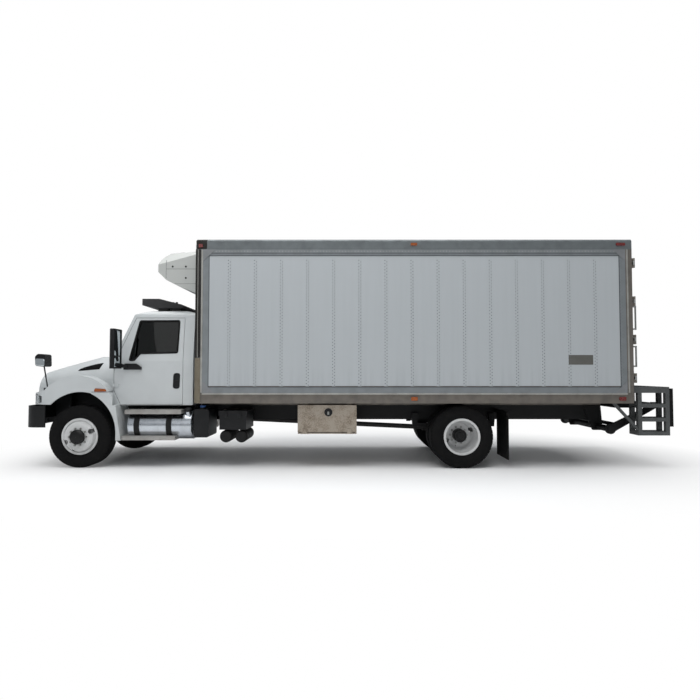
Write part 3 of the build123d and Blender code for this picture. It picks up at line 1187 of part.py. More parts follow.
def rear_door(side):
    """An insulated door with its hinge straps, two lock rods with handles, and two grab handles."""
    face = BOX_REAR_X
    door = slab(face, face + DOOR_THICKNESS, MOVE_GAP / 2, REAR_DOOR_EDGE, REAR_DOOR_LOW_Z, REAR_DOOR_HIGH_Z)
    for z in REAR_HINGE_ZS:
        half = REAR_HINGE_HALF
        door += slab(face - 36, face - 24, REAR_DOOR_EDGE - 40, REAR_HINGE_Y, z - half, z + half)
        door += slab(face - 25, face + 1, REAR_DOOR_EDGE - 200, REAR_DOOR_EDGE - 39, z - half, z + half)
        door += upright(REAR_HINGE_X, REAR_HINGE_Y, z - half, z + half, REAR_HINGE_RADIUS)
        door -= upright(REAR_HINGE_X, REAR_HINGE_Y, z - 90, z + 90, REAR_PIN_RADIUS + 0.05)
    for y in LOCK_ROD_YS:
        door += rod((face - 36, y, REAR_DOOR_LOW_Z + 10), (face - 36, y, REAR_DOOR_HIGH_Z - 10), 15)
        for z in (REAR_DOOR_LOW_Z + 60, REAR_DOOR_LOW_Z + 645, REAR_DOOR_HIGH_Z - 854, REAR_DOOR_HIGH_Z - 60):
            door += slab(face - 44, face + 1, y - 32, y + 32, z - 30, z + 30)
        door += rod((face - 36, y, REAR_DOOR_LOW_Z + 375), (face - 44, y - 220, REAR_DOOR_LOW_Z + 355), 13)
    for z0, z1 in GRAB_HANDLES:
        door += rod((face - GRAB_STAND, GRAB_Y, z0), (face - GRAB_STAND, GRAB_Y, z1), 14)
        for z in (z0 + 14, z1 - 14):
            door += rod((face - GRAB_STAND, GRAB_Y, z), (face + 1, GRAB_Y, z), 13)
    return door if side > 0 else other_side(door)


def reefer_unit():
    """The unit on the front wall: sloping belly, upright nose, rounded brow and falling cheeks."""
    edge = Line((0, UNIT_FOOT_Z), (UNIT_BELLY, UNIT_BELLY_Z))
    edge += Line((UNIT_BELLY, UNIT_BELLY_Z), (UNIT_CHIN, UNIT_CHIN_Z))
    edge += Line((UNIT_CHIN, UNIT_CHIN_Z), (UNIT_REACH, UNIT_LIP_Z))
    edge += Line((UNIT_REACH, UNIT_LIP_Z), (UNIT_REACH, UNIT_BROW_Z))
    bend = (UNIT_REACH - 34, UNIT_TOP_Z - 95)
    edge += ThreePointArc((UNIT_REACH, UNIT_BROW_Z), bend, (UNIT_BROW, UNIT_TOP_Z))
    edge += Line((UNIT_BROW, UNIT_TOP_Z), (0, UNIT_TOP_Z))
    edge += Line((0, UNIT_TOP_Z), (0, UNIT_FOOT_Z))
    body = across(make_face(edge), -UNIT_HALF, UNIT_HALF)
    side = UNIT_HALF + 5
    high = UNIT_TOP_Z + 65
    small = outline([(side, UNIT_TOP_Z - 45), (side, high), (UNIT_HALF - 100, high)])
    large = outline([(side, UNIT_TOP_Z - 265), (side, high), (UNIT_HALF - 360, high)])
    ends = [Pos(-20, 0, 0) * (Plane.YZ * small), Pos(UNIT_REACH + 31, 0, 0) * (Plane.YZ * large)]
    cheek = loft(ends, ruled=True)
    body = body - cheek - other_side(cheek)
    for row in range(LOUVRES):
        z = UNIT_TOP_Z - 345 + LOUVRE_PITCH * row
        body -= slab(UNIT_REACH - 60, UNIT_REACH + 20, -LOUVRE_HALF, LOUVRE_HALF, z, z + 22)
    for row in range(INTAKES):
        x = 90 + INTAKE_PITCH * row
        low = UNIT_FOOT_Z + (UNIT_BELLY_Z - UNIT_FOOT_Z) * x / UNIT_BELLY
        body -= slab(x, x + 24, -INTAKE_HALF, INTAKE_HALF, low - 40, low + 34)
    return Pos(BOX_FRONT_X, 0, 0) * body


def rear_steps():
    """A treadplate bed behind the doors and a step frame under each corner."""
    rear = REAR_X + BUMPER_BLOCK
    bed = slab(rear, BOX_REAR_X, -BED_HALF, BED_HALF, BED_TOP_Z - BED_EDGE, BED_TOP_Z)
    bed -= slab(rear + 60, BOX_REAR_X - 60, -BED_HALF + 60, BED_HALF - 60,
                BED_TOP_Z - BED_EDGE - 5, BED_TOP_Z - 14)
    bed += slab(BOX_REAR_X - 60, BOX_REAR_X, -RAIL_OUTER_Y - 200, RAIL_OUTER_Y + 200,
                BOX_BOTTOM_Z, BED_TOP_Z - 50)
    frame_side = None
    for x in (rear, BOX_REAR_X - STEP_SET_BACK - POST_SIZE):
        for y in (STEP_IN_Y, BED_HALF - POST_SIZE):
            post = slab(x, x + POST_SIZE, y, y + POST_SIZE, STEP_ZS[0], BED_TOP_Z - 20)
            frame_side = post if frame_side is None else frame_side + post
    for z in STEP_ZS:
        frame_side += slab(rear, BOX_REAR_X - STEP_SET_BACK, STEP_IN_Y, BED_HALF, z, z + STEP_TREAD)
    foot = BOX_REAR_X - STEP_SET_BACK - 1
    foot_z = STEP_ZS[0] + STEP_TREAD + 16
    head = BOX_REAR_X + BRACE_REACH
    brace = outline([(head, BOX_BOTTOM_Z), (head + BRACE_WIDTH, BOX_BOTTOM_Z), (foot, foot_z),
                     (foot, foot_z + BRACE_WIDTH)])
    frame_side += across(brace, BED_HALF - POST_SIZE + 12, BED_HALF - 12)
    return bed + frame_side + other_side(frame_side)


def dock_bumpers():
    """Rubber blocks on the rear faces of the step frames."""
    low, high = BUMPER_BLOCK_Z
    return both_sides(slab(REAR_X, REAR_X + BUMPER_BLOCK, BED_HALF - 130, BED_HALF, low, high))


def lift_mount():
    """The fixed tube that the lift arms turn on, and its brackets from the rails."""
    half = LIFT_ARM_Y + LIFT_ARM_WIDTH + 14
    tube = barrel(LIFT_X, LIFT_Z, LIFT_TUBE_RADIUS, -half, half)
    plate = outline([(LIFT_X - 95, LIFT_Z - 70), (LIFT_X + 95, LIFT_Z - 70), (LIFT_X + 260, RAIL_TOP_Z - 20),
                     (LIFT_X - 60, RAIL_TOP_Z - 20)], 24)
    plate = across(plate, RAIL_OUTER_Y - 0.5, RAIL_OUTER_Y + 20)
    return tube + plate + other_side(plate)


def lift_arms():
    """Two arms round the fixed tube, tied by a cross bar, with the platform's pins at their ends."""
    end = (LIFT_X - LIFT_ARM_REACH, LIFT_Z + LIFT_ARM_RISE)
    length = sqrt(LIFT_ARM_REACH ** 2 + LIFT_ARM_RISE ** 2)
    ux, uz = -LIFT_ARM_REACH / length, LIFT_ARM_RISE / length
    beam = outline([(LIFT_X - 70 * uz, LIFT_Z + 70 * ux), (end[0] - 42 * uz, end[1] + 42 * ux),
                    (end[0] + 42 * uz, end[1] - 42 * ux), (LIFT_X + 70 * uz, LIFT_Z - 70 * ux)])
    y0 = LIFT_ARM_Y
    y1 = LIFT_ARM_Y + LIFT_ARM_WIDTH
    arm = across(beam, y0, y1)
    arm += barrel(LIFT_X, LIFT_Z, 88, y0, y1) + barrel(end[0], end[1], 46, y0, y1)
    arm -= barrel(LIFT_X, LIFT_Z, LIFT_TUBE_RADIUS + 0.05, y0 - 5, y1 + 5)
    arm += barrel(end[0], end[1], LIFT_PIN_RADIUS, PLATFORM_HALF, y1)
    tie = barrel(LIFT_X + 150 * ux, LIFT_Z + 150 * uz, 34, -y0 - 1, y0 + 1)
    return arm + other_side(arm) + tie


def lift_platform():
    """The platform folded into two layers, hung level on the arm pins by a lug at each side."""
    x = LIFT_X - LIFT_ARM_REACH
    z = LIFT_Z + LIFT_ARM_RISE
    inner = PLATFORM_HALF - 22
    far = x + PLATFORM_DEPTH
    low = across(outline([(x - 30, z - 60), (far, z - 60), (far, z - 12), (x - 30, z - 6)]), -inner, inner)
    high = outline([(x + 60, z - 8), (far - 30, z - 13), (far - 30, z + 28), (x + 60, z + 36)])
    high = across(high, -inner, inner)
    lug = outline([(x - 40, z - 60), (x + 120, z - 60), (x + 60, z + 42), (x - 40, z + 42)], 12)
    lug = across(lug, inner - 1, PLATFORM_HALF)
    lug += barrel(x, z, LIFT_PIN_RADIUS + 18, inner - 1, PLATFORM_HALF + 26)
    hole = barrel(x, z, LIFT_PIN_RADIUS + 0.05, PLATFORM_HALF - 40, PLATFORM_HALF + 40)
    body = low + high + lug + other_side(lug)
    return body - hole - other_side(hole)


def mud_flaps():
    """Rubber flaps behind the rear tyres on bars from the rails."""
    flap = slab(FLAP_X, FLAP_X + 14, FLAP_IN_Y, FLAP_OUT_Y, FLAP_LOW_Z, FLAP_HIGH_Z)
    flap += slab(FLAP_X - 30, FLAP_X + 30, RAIL_OUTER_Y, FLAP_OUT_Y, FLAP_HIGH_Z - 40, FLAP_HIGH_Z + 20)
    return both_sides(flap)


def marker_lamps():
    """Low rounded lamps along the box's rails."""
    lamps = []
    for x, z, length, height in SIDE_LAMPS:
        y = BOX_HALF if z > TOP_RAIL_Z else BOX_HALF - RAIL_RELIEF
        lens = Pos(x, z) * RectangleRounded(length, height, 14)
        lamps.append(both_sides(across(lens, y, y + 16)))
    return group(*lamps)


def exhaust_canister():
    """The after-treatment canister under the right door, in the same bands as the tank."""
    half = (TANK_FRONT - TANK_REAR) / 2 - 60
    can = turned([(0, -half), (TANK_RADIUS - 40, -half), (TANK_RADIUS, -half + 40), (TANK_RADIUS, half - 40),
                  (TANK_RADIUS - 40, half), (0, half)])
    return at_front_axle(Pos((TANK_FRONT + TANK_REAR) / 2, -TANK_Y, TANK_Z) * (Rot(0, 0, -90) * can))


def cab_with_hinges():
    """The cab shell and the fixed halves of its door hinges as one body."""
    shell = cab_shell()
    for arm in cab_hinges():
        shell = shell + arm + other_side(arm)
    return shell


FRONT_WHEEL = front_wheel()
REAR_WHEELS = rear_wheels()
TYRE = tyre()
TWIN_TYRES = group(Pos(0, DUAL_SPACING / 2, 0) * TYRE, Pos(0, -DUAL_SPACING / 2, 0) * TYRE)
CHASSIS = frame() + at_front_axle(hood_brackets() + other_side(hood_brackets())) + lift_mount()

NODES = {
    "chassis_frame": CHASSIS,
    "front_bumper": front_bumper(),
    "engine": engine(),
    "drive_shaft": drive_shaft(),
    "front_axle": front_axle(),
    "leaf_springs": group(*(both_sides(leaf_spring(*row)) for row in SPRINGS)),
    "rear_axle": rear_axle(),
    "cab_shell": cab_with_hinges(),
    "windscreen": windscreen(),
    "dashboard": dashboard(),
    "steering_wheel": steering_wheel(),
    "seats": group(seat(WHEEL_Y), seat(-WHEEL_Y)),
    "fuel_tank": fuel_tank(),
    "exhaust_canister": exhaust_canister(),
    "tank_steps": both_sides(tank_steps()),
    "fender_extensions": both_sides(fender_extension()),
    "urea_tank": def_tank(),
    "battery_box": battery_box(),
    "air_tanks": air_tanks(),
    "toolbox": toolbox(),
    "toolbox_door": toolbox_door(),
    "roof_unit": roof_unit(),
    "box_floor": box_floor(),
    "box_walls": box_walls(),
    "box_front": box_front(),
    "box_roof": box_roof(),
    "rear_header": rear_header(),
    "rear_posts": rear_posts(),
    "marker_lamps": marker_lamps(),
    "cooling_unit": reefer_unit(),
    "mud_flaps": mud_flaps(),
    "rear_steps": rear_steps(),
    "dock_bumpers": dock_bumpers(),
    "lift_arms": lift_arms(),
    "lift_platform": lift_platform(),
    "hood": hood(),
    "grille": grille(),
    "hood_lamps": hood_lamps(),
    "hood_mirrors": hood_mirrors(),
}

for name, side in (("left", 1), ("right", -1)):
    NODES[f"cab_door_{name}"] = cab_door(side)
    NODES[f"door_glass_{name}"] = door_glass(side)
    NODES[f"door_mirror_{name}"] = door_mirror(side)
    NODES[f"knuckle_{name}"] = knuckle(side)
    NODES[f"front_wheel_{name}"] = at_wheel(FRONT_WHEEL, FRONT_AXLE_X, side * FRONT_TYRE_Y)
    NODES[f"front_tyre_{name}"] = at_wheel(TYRE, FRONT_AXLE_X, side * FRONT_TYRE_Y)
    NODES[f"rear_wheels_{name}"] = at_wheel(REAR_WHEELS, REAR_AXLE_X, side * REAR_HUB_Y)
    NODES[f"rear_tyres_{name}"] = at_wheel(TWIN_TYRES, REAR_AXLE_X, side * REAR_HUB_Y)
    NODES[f"rear_door_{name}"] = rear_door(side)


os.makedirs("parts", exist_ok=True)

for node, shape in NODES.items():
    export_step(shape, f"parts/{node}.step")
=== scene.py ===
"""Looks of a refrigerated box truck: finishes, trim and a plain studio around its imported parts."""
import json
import logging
import math
from collections.abc import Callable, Iterable, Iterator, Sequence
from dataclasses import dataclass
from enum import Enum

import bmesh
import bpy
from mathutils import Matrix, Vector
from mathutils.bvhtree import BVHTree


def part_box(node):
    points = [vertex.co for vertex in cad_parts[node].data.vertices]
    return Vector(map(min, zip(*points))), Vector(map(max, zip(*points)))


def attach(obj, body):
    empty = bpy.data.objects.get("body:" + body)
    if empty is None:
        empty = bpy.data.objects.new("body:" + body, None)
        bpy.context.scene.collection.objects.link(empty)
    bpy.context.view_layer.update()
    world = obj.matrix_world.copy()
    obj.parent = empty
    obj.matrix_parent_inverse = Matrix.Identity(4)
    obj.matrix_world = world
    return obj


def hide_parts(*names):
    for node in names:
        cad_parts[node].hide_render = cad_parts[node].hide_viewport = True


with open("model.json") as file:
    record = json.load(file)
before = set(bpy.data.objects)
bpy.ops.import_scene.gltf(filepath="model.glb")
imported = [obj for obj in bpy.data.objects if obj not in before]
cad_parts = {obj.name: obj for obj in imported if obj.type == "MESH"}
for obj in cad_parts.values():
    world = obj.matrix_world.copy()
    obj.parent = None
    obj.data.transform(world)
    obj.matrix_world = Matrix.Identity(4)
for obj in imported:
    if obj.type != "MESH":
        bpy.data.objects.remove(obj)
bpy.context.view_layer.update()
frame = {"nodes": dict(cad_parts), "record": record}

LOG = logging.getLogger("truck")
MM = 0.001
WAVE_SCALE = 0.314
CHASSIS = "chassis"
HOOD = "hood_body"
FLAT_ANGLE = math.radians(32)
OBJECT_OUT = 3
BUMP = 0.6
Point = Sequence[float]
Corners = tuple[Point, Point]
Span = tuple[float, float]
Spans = tuple[Span, ...]
Place = tuple[float, float, float]
Colour = tuple[float, float, float, float]
Row = tuple[float, ...]
Rows = tuple[Row, ...]
Tree = bpy.types.NodeTree
Socket = bpy.types.NodeSocket
JOINT_PLACES = {row["name"]: row["pos_m"] for row in frame["record"]["behaviour"]["joints"]}
FRONT_AXLE_X, FRONT_TYRE_Y, AXLE_Z = JOINT_PLACES["front_spin_left"]
REAR_AXLE_X, REAR_HUB_Y, _ = JOINT_PLACES["rear_spin_left"]
DUAL_HALF = 0.1715


class Side(Enum):
    """The truck's two sides, with the sign of their Y."""

    LEFT = 1
    RIGHT = -1

    @property
    def label(self) -> str:
        """The side's name as the parts are named."""
        return self.name.lower()


def linear(code: str) -> Colour:
    """Turn an sRGB colour to linear light.

    Args:
        code: A hex colour such as "#c0c4c8".

    Returns:
        Red, green, blue and an alpha of 1.
    """
    shares = [int(code[place:place + 2], 16) / 255 for place in (1, 3, 5)]
    red, green, blue = (s / 12.92 if s <= 0.04045 else ((s + 0.055) / 1.055) ** 2.4 for s in shares)
    return red, green, blue, 1.0


def add_node(tree: Tree, kind: str, feeds: dict | None = None, out: int = 0, **settings) -> Socket:
    """Add a node with its settings, and set or link its inputs.

    Args:
        tree: The node tree that gets the node.
        kind: The node's type name.
        feeds: Input name or number to a value, or to the socket that is linked to it.
        out: The number of the output that is wanted.
        settings: The node's own properties.

    Returns:
        The wanted output of the new node, or the node's first input where it has no output.
    """
    node = tree.nodes.new(kind)
    for name, value in settings.items():
        setattr(node, name, value)
    for key, value in (feeds or {}).items():
        if isinstance(value, Socket):
            tree.links.new(value, node.inputs[key])
        else:
            node.inputs[key].default_value = value
    return node.outputs[out] if len(node.outputs) else node.inputs[0]


def toned(colour: str, share: float, lift: float = 0.0) -> Colour:
    """A colour in linear light, dimmed to a share of itself and then lifted."""
    red, green, blue, alpha = linear(colour)
    return red * share + lift, green * share + lift, blue * share + lift, alpha


@dataclass(frozen=True)
class Finish:
    """A finish: its name, its main colour and how rough it is."""

    name: str
    colour: str
    roughness: float = 0.5

    def material(self) -> bpy.types.Material:
        """Give the finish's material, built the first time it is asked for.

        Returns:
            The material.
        """
        known = bpy.data.materials.get(self.name)
        if known:
            return known
        made = bpy.data.materials.new(self.name)
        made.use_nodes = True
        tree = made.node_tree
        tree.nodes.clear()
        place = add_node(tree, "ShaderNodeTexCoord", out=OBJECT_OUT)
        feeds = {"Base Color": linear(self.colour), "Roughness": self.roughness, **self.weave(tree, place)}
        surface = add_node(tree, "ShaderNodeBsdfPrincipled", feeds)
        add_node(tree, "ShaderNodeOutputMaterial", {"Surface": surface})
        return made

    def weave(self, tree: Tree, place: Socket) -> dict:
        """Build the pattern of the finish.

        Args:
            tree: The material's tree.
            place: Object coordinates, in metres.

        Returns:
            What feeds each input of the surface shader.
        """
        raise NotImplementedError


@dataclass(frozen=True)
class Enamel(Finish):
    """Sprayed enamel: a clear gloss over colour, faint orange peel, and road dust that thickens downwards."""

    dust: str = "#8d8a83"
    dust_top: float = 1.3
    dust_low: float = 0.35
    dust_share: float = 0.4
    peel_mm: float = 14.0
    cloud_mm: float = 420.0
    coat: float = 0.35
    patch_mm: float = 90.0
    peel_deep_mm: float = 0.12
    specular: float = 0.5

    def weave(self, tree: Tree, place: Socket) -> dict:
        """Cloud the colour, lay the dust and ripple the gloss.

        Args:
            tree: The material's tree.
            place: Object coordinates, in metres.

        Returns:
            What feeds each input of the surface shader.
        """
        cloud = add_node(tree, "ShaderNodeTexNoise", {
            "Vector": place, "Scale": 1 / (self.cloud_mm * MM), "Detail": 3.0})
        fade = add_node(tree, "ShaderNodeMapRange", {
            "Value": cloud, "From Min": 0.35, "From Max": 0.7, "To Max": 0.6})
        colour = add_node(tree, "ShaderNodeMix", {
            0: fade, 6: linear(self.colour), 7: toned(self.colour, 0.9)}, out=2, data_type="RGBA")
        height = add_node(tree, "ShaderNodeSeparateXYZ", {"Vector": place}, out=2)
        low = add_node(tree, "ShaderNodeMapRange", {
            "Value": height, "From Min": self.dust_low, "From Max": self.dust_top,
            "To Min": self.dust_share, "To Max": 0.0})
        patch = add_node(tree, "ShaderNodeTexNoise", {
            "Vector": place, "Scale": 1 / (self.patch_mm * MM), "Detail": 6.0})
        patch = add_node(tree, "ShaderNodeMapRange", {
            "Value": patch, "From Min": 0.3, "From Max": 0.72, "To Min": 0.25})
        share = add_node(tree, "ShaderNodeMath", {0: low, 1: patch}, operation="MULTIPLY")
        colour = add_node(tree, "ShaderNodeMix", {
            0: share, 6: colour, 7: linear(self.dust)}, out=2, data_type="RGBA")
        rough = add_node(tree, "ShaderNodeMapRange", {
            "Value": share, "From Max": 0.5, "To Min": self.roughness, "To Max": 0.75})
        peel = add_node(tree, "ShaderNodeTexNoise", {
            "Vector": place, "Scale": 1 / (self.peel_mm * MM), "Detail": 1.0})
        normal = add_node(tree, "ShaderNodeBump", {
            "Height": peel, "Strength": BUMP, "Distance": self.peel_deep_mm * MM})
        return {"Base Color": colour, "Roughness": rough, "Normal": normal, "Coat Weight": self.coat,
                "Coat Roughness": 0.12, "Specular IOR Level": self.specular}


@dataclass(frozen=True)
class PanelSheet(Finish):
    """Prepainted aluminium sheet: satin, a little wavy between its rivets, with rain streaks down it."""

    streak: str = "#84878a"
    wave_mm: float = 260.0
    streak_mm: float = 60.0
    streak_run: float = 22.0
    wave_run: float = 3.0
    wave_deep_mm: float = 0.4
    foot_low: float = 1.35
    foot_top: float = 1.75

    def weave(self, tree: Tree, place: Socket) -> dict:
        """Draw upright streaks, a dirty foot and slow waves.

        Args:
            tree: The material's tree.
            place: Object coordinates, in metres.

        Returns:
            What feeds each input of the surface shader.
        """
        drawn = add_node(tree, "ShaderNodeMapping", {"Vector": place, "Scale": (1, 1, 1 / self.streak_run)})
        streaks = add_node(tree, "ShaderNodeTexNoise", {
            "Vector": drawn, "Scale": 1 / (self.streak_mm * MM), "Detail": 5.0})
        marks = add_node(tree, "ShaderNodeMapRange", {"Value": streaks, "From Min": 0.42, "From Max": 0.75})
        height = add_node(tree, "ShaderNodeSeparateXYZ", {"Vector": place}, out=2)
        foot = add_node(tree, "ShaderNodeMapRange", {
            "Value": height, "From Min": self.foot_low, "From Max": self.foot_top, "To Min": 0.25,
            "To Max": 0.05})
        share = add_node(tree, "ShaderNodeMath", {0: marks, 1: foot}, operation="MULTIPLY")
        colour = add_node(tree, "ShaderNodeMix", {
            0: share, 6: linear(self.colour), 7: linear(self.streak)}, out=2, data_type="RGBA")
        rough = add_node(tree, "ShaderNodeMapRange", {
            "Value": streaks, "From Min": 0.3, "From Max": 0.8, "To Min": self.roughness,
            "To Max": self.roughness + 0.05})
        slow = add_node(tree, "ShaderNodeMapping", {"Vector": place, "Scale": (1, 1, 1 / self.wave_run)})
        wave = add_node(tree, "ShaderNodeTexNoise", {
            "Vector": slow, "Scale": 1 / (self.wave_mm * MM), "Detail": 0.0})
        normal = add_node(tree, "ShaderNodeBump", {
            "Height": wave, "Strength": BUMP, "Distance": self.wave_deep_mm * MM})
        return {"Base Color": colour, "Roughness": rough, "Normal": normal}


@dataclass(frozen=True)
class Extrusion(Finish):
    """Mill aluminium extrusion: die lines along its length, dull oxide blotches and grey grime."""

    oxide: str = "#5f5d59"
    metal: float = 0.6
    line_mm: float = 7.0
    run: float = 60.0
    blotch: float = 0.5
    patch_mm: float = 150.0
    line_deep_mm: float = 0.15

    def weave(self, tree: Tree, place: Socket) -> dict:
        """Draw the die lines and the oxide.

        Args:
            tree: The material's tree.
            place: Object coordinates, in metres.

        Returns:
            What feeds each input of the surface shader.
        """
        drawn = add_node(tree, "ShaderNodeMapping", {"Vector": place, "Scale": (1 / self.run, 1, 1)})
        lines = add_node(tree, "ShaderNodeTexNoise", {
            "Vector": drawn, "Scale": 1 / (self.line_mm * MM), "Detail": 2.0})
        patch = add_node(tree, "ShaderNodeTexNoise", {
            "Vector": place, "Scale": 1 / (self.patch_mm * MM), "Detail": 5.0})
        share = add_node(tree, "ShaderNodeMapRange", {
            "Value": patch, "From Min": 0.38, "From Max": 0.68, "To Max": self.blotch})
        colour = add_node(tree, "ShaderNodeMix", {
            0: share, 6: linear(self.colour), 7: linear(self.oxide)}, out=2, data_type="RGBA")
        rough = add_node(tree, "ShaderNodeMapRange", {
            "Value": share, "From Max": 0.8, "To Min": self.roughness, "To Max": self.roughness + 0.22})
        normal = add_node(tree, "ShaderNodeBump", {
            "Height": lines, "Strength": BUMP, "Distance": self.line_deep_mm * MM})
        return {"Base Color": colour, "Roughness": rough, "Normal": normal, "Metallic": self.metal}


@dataclass(frozen=True)
class Stainless(Finish):
    """Rolled stainless sheet left out on the road: satin grain under brown water stains."""

    stain: str = "#6b5a48"
    stain_share: float = 0.6
    grain_mm: float = 5.0
    patch_mm: float = 130.0
    fine_mm: float = 18.0
    grain_run: float = 30.0
    grain_deep_mm: float = 0.1

    def weave(self, tree: Tree, place: Socket) -> dict:
        """Draw the grain and the stains.

        Args:
            tree: The material's tree.
            place: Object coordinates, in metres.

        Returns:
            What feeds each input of the surface shader.
        """
        drawn = add_node(tree, "ShaderNodeMapping", {"Vector": place, "Scale": (1 / self.grain_run, 1, 1)})
        grain = add_node(tree, "ShaderNodeTexNoise", {
            "Vector": drawn, "Scale": 1 / (self.grain_mm * MM), "Detail": 2.0})
        patch = add_node(tree, "ShaderNodeTexNoise", {
            "Vector": place, "Scale": 1 / (self.patch_mm * MM), "Detail": 7.0})
        fine = add_node(tree, "ShaderNodeTexNoise", {
            "Vector": place, "Scale": 1 / (self.fine_mm * MM), "Detail": 4.0})
        mixed = add_node(tree, "ShaderNodeMath", {0: patch, 1: fine}, operation="MULTIPLY")
        share = add_node(tree, "ShaderNodeMapRange", {
            "Value": mixed, "From Min": 0.2, "From Max": 0.42, "To Max": self.stain_share})
        colour = add_node(tree, "ShaderNodeMix", {
            0: share, 6: linear(self.colour), 7: linear(self.stain)}, out=2, data_type="RGBA")
        rough = add_node(tree, "ShaderNodeMapRange", {
            "Value": share, "From Max": 0.8, "To Min": self.roughness, "To Max": 0.8})
        normal = add_node(tree, "ShaderNodeBump", {
            "Height": grain, "Strength": BUMP, "Distance": self.grain_deep_mm * MM})
        return {"Base Color": colour, "Roughness": rough, "Normal": normal, "Metallic": 0.6}


@dataclass(frozen=True)
class PolishedTank(Finish):
    """Rolled and polished aluminium: bright, with fine polishing lines round the drum."""

    film: str = "#8f9194"
    line_mm: float = 6.0
    line_run: float = 40.0
    patch_mm: float = 120.0

    def weave(self, tree: Tree, place: Socket) -> dict:
        """Draw the polishing lines and a trace of road film.

        Args:
            tree: The material's tree.
            place: Object coordinates, in metres.

        Returns:
            What feeds each input of the surface shader.
        """
        drawn = add_node(tree, "ShaderNodeMapping", {
            "Vector": place, "Scale": (1, 1 / self.line_run, 1 / self.line_run)})
        lines = add_node(tree, "ShaderNodeTexNoise", {
            "Vector": drawn, "Scale": 1 / (self.line_mm * MM), "Detail": 2.0})
        patch = add_node(tree, "ShaderNodeTexNoise", {
            "Vector": place, "Scale": 1 / (self.patch_mm * MM), "Detail": 5.0})
        share = add_node(tree, "ShaderNodeMapRange", {
            "Value": patch, "From Min": 0.4, "From Max": 0.75, "To Max": 0.35})
        colour = add_node(tree, "ShaderNodeMix", {
            0: share, 6: linear(self.colour), 7: linear(self.film)}, out=2, data_type="RGBA")
        rough = add_node(tree, "ShaderNodeMapRange", {
            "Value": lines, "From Min": 0.3, "From Max": 0.7, "To Min": self.roughness,
            "To Max": self.roughness + 0.05})
        return {"Base Color": colour, "Roughness": rough, "Metallic": 1.0, "Anisotropic": 0.3}


@dataclass(frozen=True)
class Moulded(Finish):
    """Moulded plastic, powder coat or casting: a fine grained skin, greyed where it weathers."""

    grain_mm: float = 3.0
    grain_depth: float = 0.25
    chalk: float = 0.18
    patch_mm: float = 170.0
    specular: float = 0.5

    def weave(self, tree: Tree, place: Socket) -> dict:
        """Draw the grain and the chalking.

        Args:
            tree: The material's tree.
            place: Object coordinates, in metres.

        Returns:
            What feeds each input of the surface shader.
        """
        grain = add_node(tree, "ShaderNodeTexNoise", {
            "Vector": place, "Scale": 1 / (self.grain_mm * MM), "Detail": 2.0})
        patch = add_node(tree, "ShaderNodeTexNoise", {
            "Vector": place, "Scale": 1 / (self.patch_mm * MM), "Detail": 6.0})
        worn = add_node(tree, "ShaderNodeMapRange", {
            "Value": patch, "From Min": 0.42, "From Max": 0.78, "To Max": self.chalk})
        colour = add_node(tree, "ShaderNodeMix", {
            0: worn, 6: linear(self.colour), 7: toned(self.colour, 0.75, 0.055)}, out=2, data_type="RGBA")
        rough = add_node(tree, "ShaderNodeMapRange", {
            "Value": worn, "From Max": 0.4, "To Min": self.roughness, "To Max": self.roughness + 0.15})
        normal = add_node(tree, "ShaderNodeBump", {
            "Height": grain, "Strength": BUMP, "Distance": self.grain_depth * MM})
        return {"Base Color": colour, "Roughness": rough, "Normal": normal,
                "Specular IOR Level": self.specular}


@dataclass(frozen=True)
class Rubber(Finish):
    """Cured rubber: matt black, browned and dusted in patches."""

    bloom: str = "#252321"
    tooth_mm: float = 4.0
    tooth_deep_mm: float = 0.3
    patch_mm: float = 70.0

    def weave(self, tree: Tree, place: Socket) -> dict:
        """Lay the bloom and a fine tooth.

        Args:
            tree: The material's tree.
            place: Object coordinates, in metres.

        Returns:
            What feeds each input of the surface shader.
        """
        patch = add_node(tree, "ShaderNodeTexNoise", {
            "Vector": place, "Scale": 1 / (self.patch_mm * MM), "Detail": 7.0})
        share = add_node(tree, "ShaderNodeMapRange", {
            "Value": patch, "From Min": 0.42, "From Max": 0.75, "To Max": 0.7})
        colour = add_node(tree, "ShaderNodeMix", {
            0: share, 6: linear(self.colour), 7: linear(self.bloom)}, out=2, data_type="RGBA")
        rough = add_node(tree, "ShaderNodeMapRange", {
            "Value": share, "From Max": 0.7, "To Min": self.roughness, "To Max": 0.92})
        tooth = add_node(tree, "ShaderNodeTexNoise", {
            "Vector": place, "Scale": 1 / (self.tooth_mm * MM), "Detail": 3.0})
        normal = add_node(tree, "ShaderNodeBump", {
            "Height": tooth, "Strength": BUMP, "Distance": self.tooth_deep_mm * MM})
        return {"Base Color": colour, "Roughness": rough, "Normal": normal, "Specular IOR Level": 0.15}


@dataclass(frozen=True)
class Pane(Finish):
    """Clear or tinted glass and plastic: see-through, with a thin film of dust on it."""

    ior: float = 1.45
    film_mm: float = 160.0

    def weave(self, tree: Tree, place: Socket) -> dict:
        """Make it clear and film it over a little.

        Args:
            tree: The material's tree.
            place: Object coordinates, in metres.

        Returns:
            What feeds each input of the surface shader.
        """
        film = add_node(tree, "ShaderNodeTexNoise", {
            "Vector": place, "Scale": 1 / (self.film_mm * MM), "Detail": 4.0})
        rough = add_node(tree, "ShaderNodeMapRange", {
            "Value": film, "From Min": 0.4, "From Max": 0.8, "To Min": self.roughness,
            "To Max": self.roughness + 0.05})
        return {"Roughness": rough, "Transmission Weight": 1.0, "IOR": self.ior}


